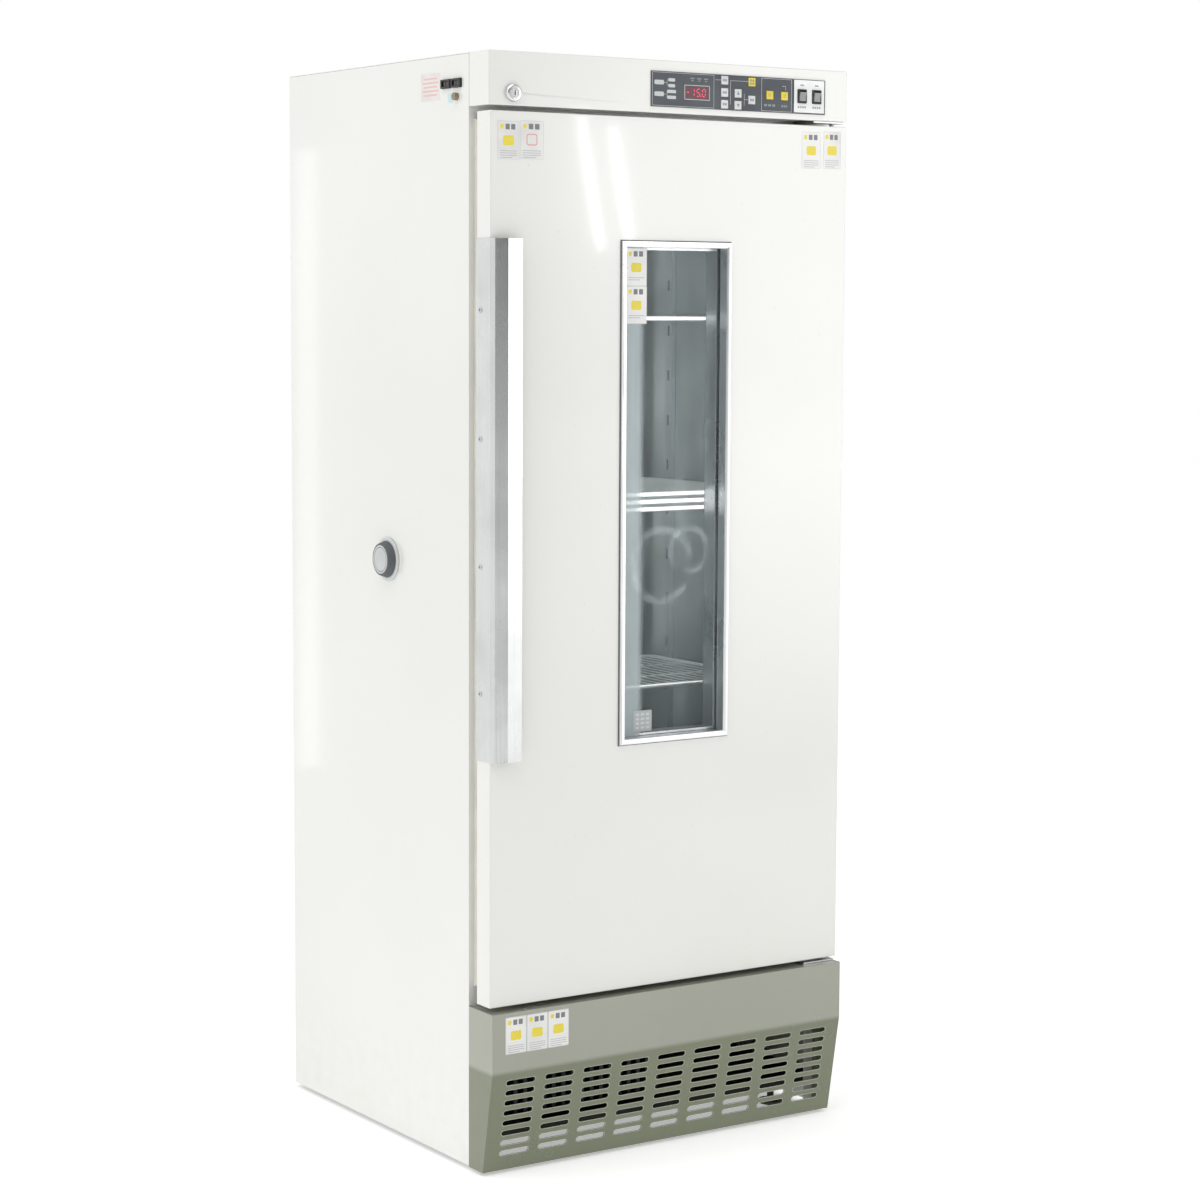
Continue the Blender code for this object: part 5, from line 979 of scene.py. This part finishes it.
# Machine bay
# A hermetic compressor in black enamel stands on the base tray, beside a condenser of thin
# aluminium fins that has its own fan. The fins are coloured near black: painted shade for the dark bay.

black_enamel = sprayed("black_enamel", (0.028, 0.028, 0.030), (0.045, 0.045, 0.046), 0.24, 0.00003)
dress(black_enamel, "compressor")
# Painted shade: the fins are near black, standing in for the shade inside the machine bay.
fins_painted_shade = metal("fin_aluminium", (0.11, 0.11, 0.11), (0.05, 0.05, 0.05), 0.42, (1.0, 1.0, 0.05), 260.0, 0.00003)
dress(fins_painted_shade, "condenser")
dress(black_blades, "condenser_fan")


# Studio
# A plain pale floor in a white room, dimmer ahead of the door and brighter on the left. A softbox
# hangs overhead, one on the right fades towards its left and lower edges, thin strips make the
# streaks in the enamel, and a small light fills the chamber.

floor_mesh = bmesh.new()
bmesh.ops.create_grid(floor_mesh, x_segments=1, y_segments=1, size=30.0)
floor = bpy.data.meshes.new("studio_floor")
floor_mesh.to_mesh(floor)
floor_mesh.free()
floor_paper = Finish("floor_paper", Roughness=0.9, Emission_Strength=0.42)
floor_paper.wear(Base_Color=floor_paper.blend(floor_paper.noise(0.7), (0.90, 0.90, 0.90), (0.88, 0.88, 0.88)))
floor.materials.append(floor_paper.material)
floor_piece = bpy.data.objects.new("studio_floor", floor)
bpy.context.scene.collection.objects.link(floor_piece)

world = bpy.data.worlds.new("white_room")
world.use_nodes = True
room = Graph(world.node_tree)
look = room.add("ShaderNodeTexCoord", output="Generated")


def patch(direction, inner, outer):
    """1 where the room is seen along a direction, falling to 0 past the outer angle, in degrees."""
    along = room.add("ShaderNodeVectorMath", {"operation": "DOT_PRODUCT"},
                     {0: look, 1: tuple(Vector(direction).normalized())}, output="Value")
    return room.rise(along, math.cos(math.radians(outer)), math.cos(math.radians(inner)))


dim_side = patch((-0.45, -0.9, 0.05), 20, 46) * -0.46
left_wall = patch((-0.9, 0.4, 0.2), 25, 80) * 0.62
walls = dim_side + left_wall + 0.52
backdrop = room.add("ShaderNodeLightPath", output="Is Camera Ray")
background = world.node_tree.nodes["Background"]
room.feed(background.inputs["Strength"], backdrop + (1.0 - backdrop) * walls)
room.feed(background.inputs["Color"], (1.0, 1.0, 1.0))
bpy.context.scene.world = world
bpy.context.scene.view_settings.view_transform = "Standard"


def softbox(name, at, towards, width, height, brightness, lean=0.0, fade=None):
    """A rectangular light as bright as that many times the white room; fade is how much of its
    width and of its height it takes to reach that from its left and lower edges."""
    light = bpy.data.lights.new(name, "AREA")
    light.shape, light.size, light.size_y = "RECTANGLE", width, height
    light.energy = brightness * math.pi * width * height
    if fade:
        light.use_nodes = True
        face = Graph(light.node_tree)
        spot = face.add("ShaderNodeNewGeometry", output="Parametric")
        from_left, from_below = (face.add("ShaderNodeSeparateXYZ", sockets={0: spot}, output=axis)
                                 for axis in "XY")
        face.feed(light.node_tree.nodes["Emission"].inputs["Strength"],
                  face.rise(from_left, 0.0, fade[0]) * face.rise(from_below, 0.0, fade[1]))
    holder = bpy.data.objects.new(name, light)
    aim = (Vector(towards) - Vector(at)).to_track_quat("-Z", "Y").to_matrix().to_4x4()
    holder.matrix_world = Matrix.Translation(at) @ aim @ Matrix.Rotation(lean, 4, "Z")
    holder.visible_camera = False
    bpy.context.scene.collection.objects.link(holder)


softbox("overhead", (-0.8, -1.0, 4.2), (0.0, 0.0, 0.8), 3.0, 3.0, 1.35)
softbox("window_light", (2.05, -2.78, 1.25), (0.0, -0.34, 1.25), 1.7, 2.3, 2.5, fade=(0.55, 0.4))
softbox("sun_side", (2.9, -2.6, 1.35), (0.0, -0.1, 1.05), 0.5, 1.6, 2.0)
softbox("streak_left", (1.610, -2.990, 1.72), (-0.13, -0.32, 1.58), 0.022, 0.36, 16.0, 0.16)
softbox("streak_right", (1.700, -2.970, 1.70), (-0.11, -0.32, 1.57), 0.024, 0.34, 15.0, 0.16)
softbox("back_strip", (-1.83, 3.09, 0.95), (-0.342, 0.28, 1.1), 0.055, 1.75, 1.6)
softbox("chamber_light", (middle, sheet_edge + 0.03, 1.22), (middle, 0.2, 1.22), 0.36, 0.9, 2.2)

camera = bpy.data.cameras.new("camera")
camera.lens, camera.sensor_width = 85.84, 36.0
viewer = bpy.data.objects.new("camera", camera)
yaw, pitch, roll = math.radians(33.723), math.radians(-5.852), math.radians(0.269)
forward = Vector((math.sin(yaw) * math.cos(pitch), math.cos(yaw) * math.cos(pitch), math.sin(pitch)))
right = Vector((math.cos(yaw), -math.sin(yaw), 0.0))
up = right.cross(forward)
turned_right = right * math.cos(roll) + up * math.sin(roll)
turned_up = up * math.cos(roll) - right * math.sin(roll)
pose = Matrix((turned_right, turned_up, -forward)).transposed().to_4x4()
pose.translation = (-2.6671, -4.11655, 1.3871)
viewer.matrix_world = pose
bpy.context.scene.collection.objects.link(viewer)
bpy.context.scene.camera = viewer
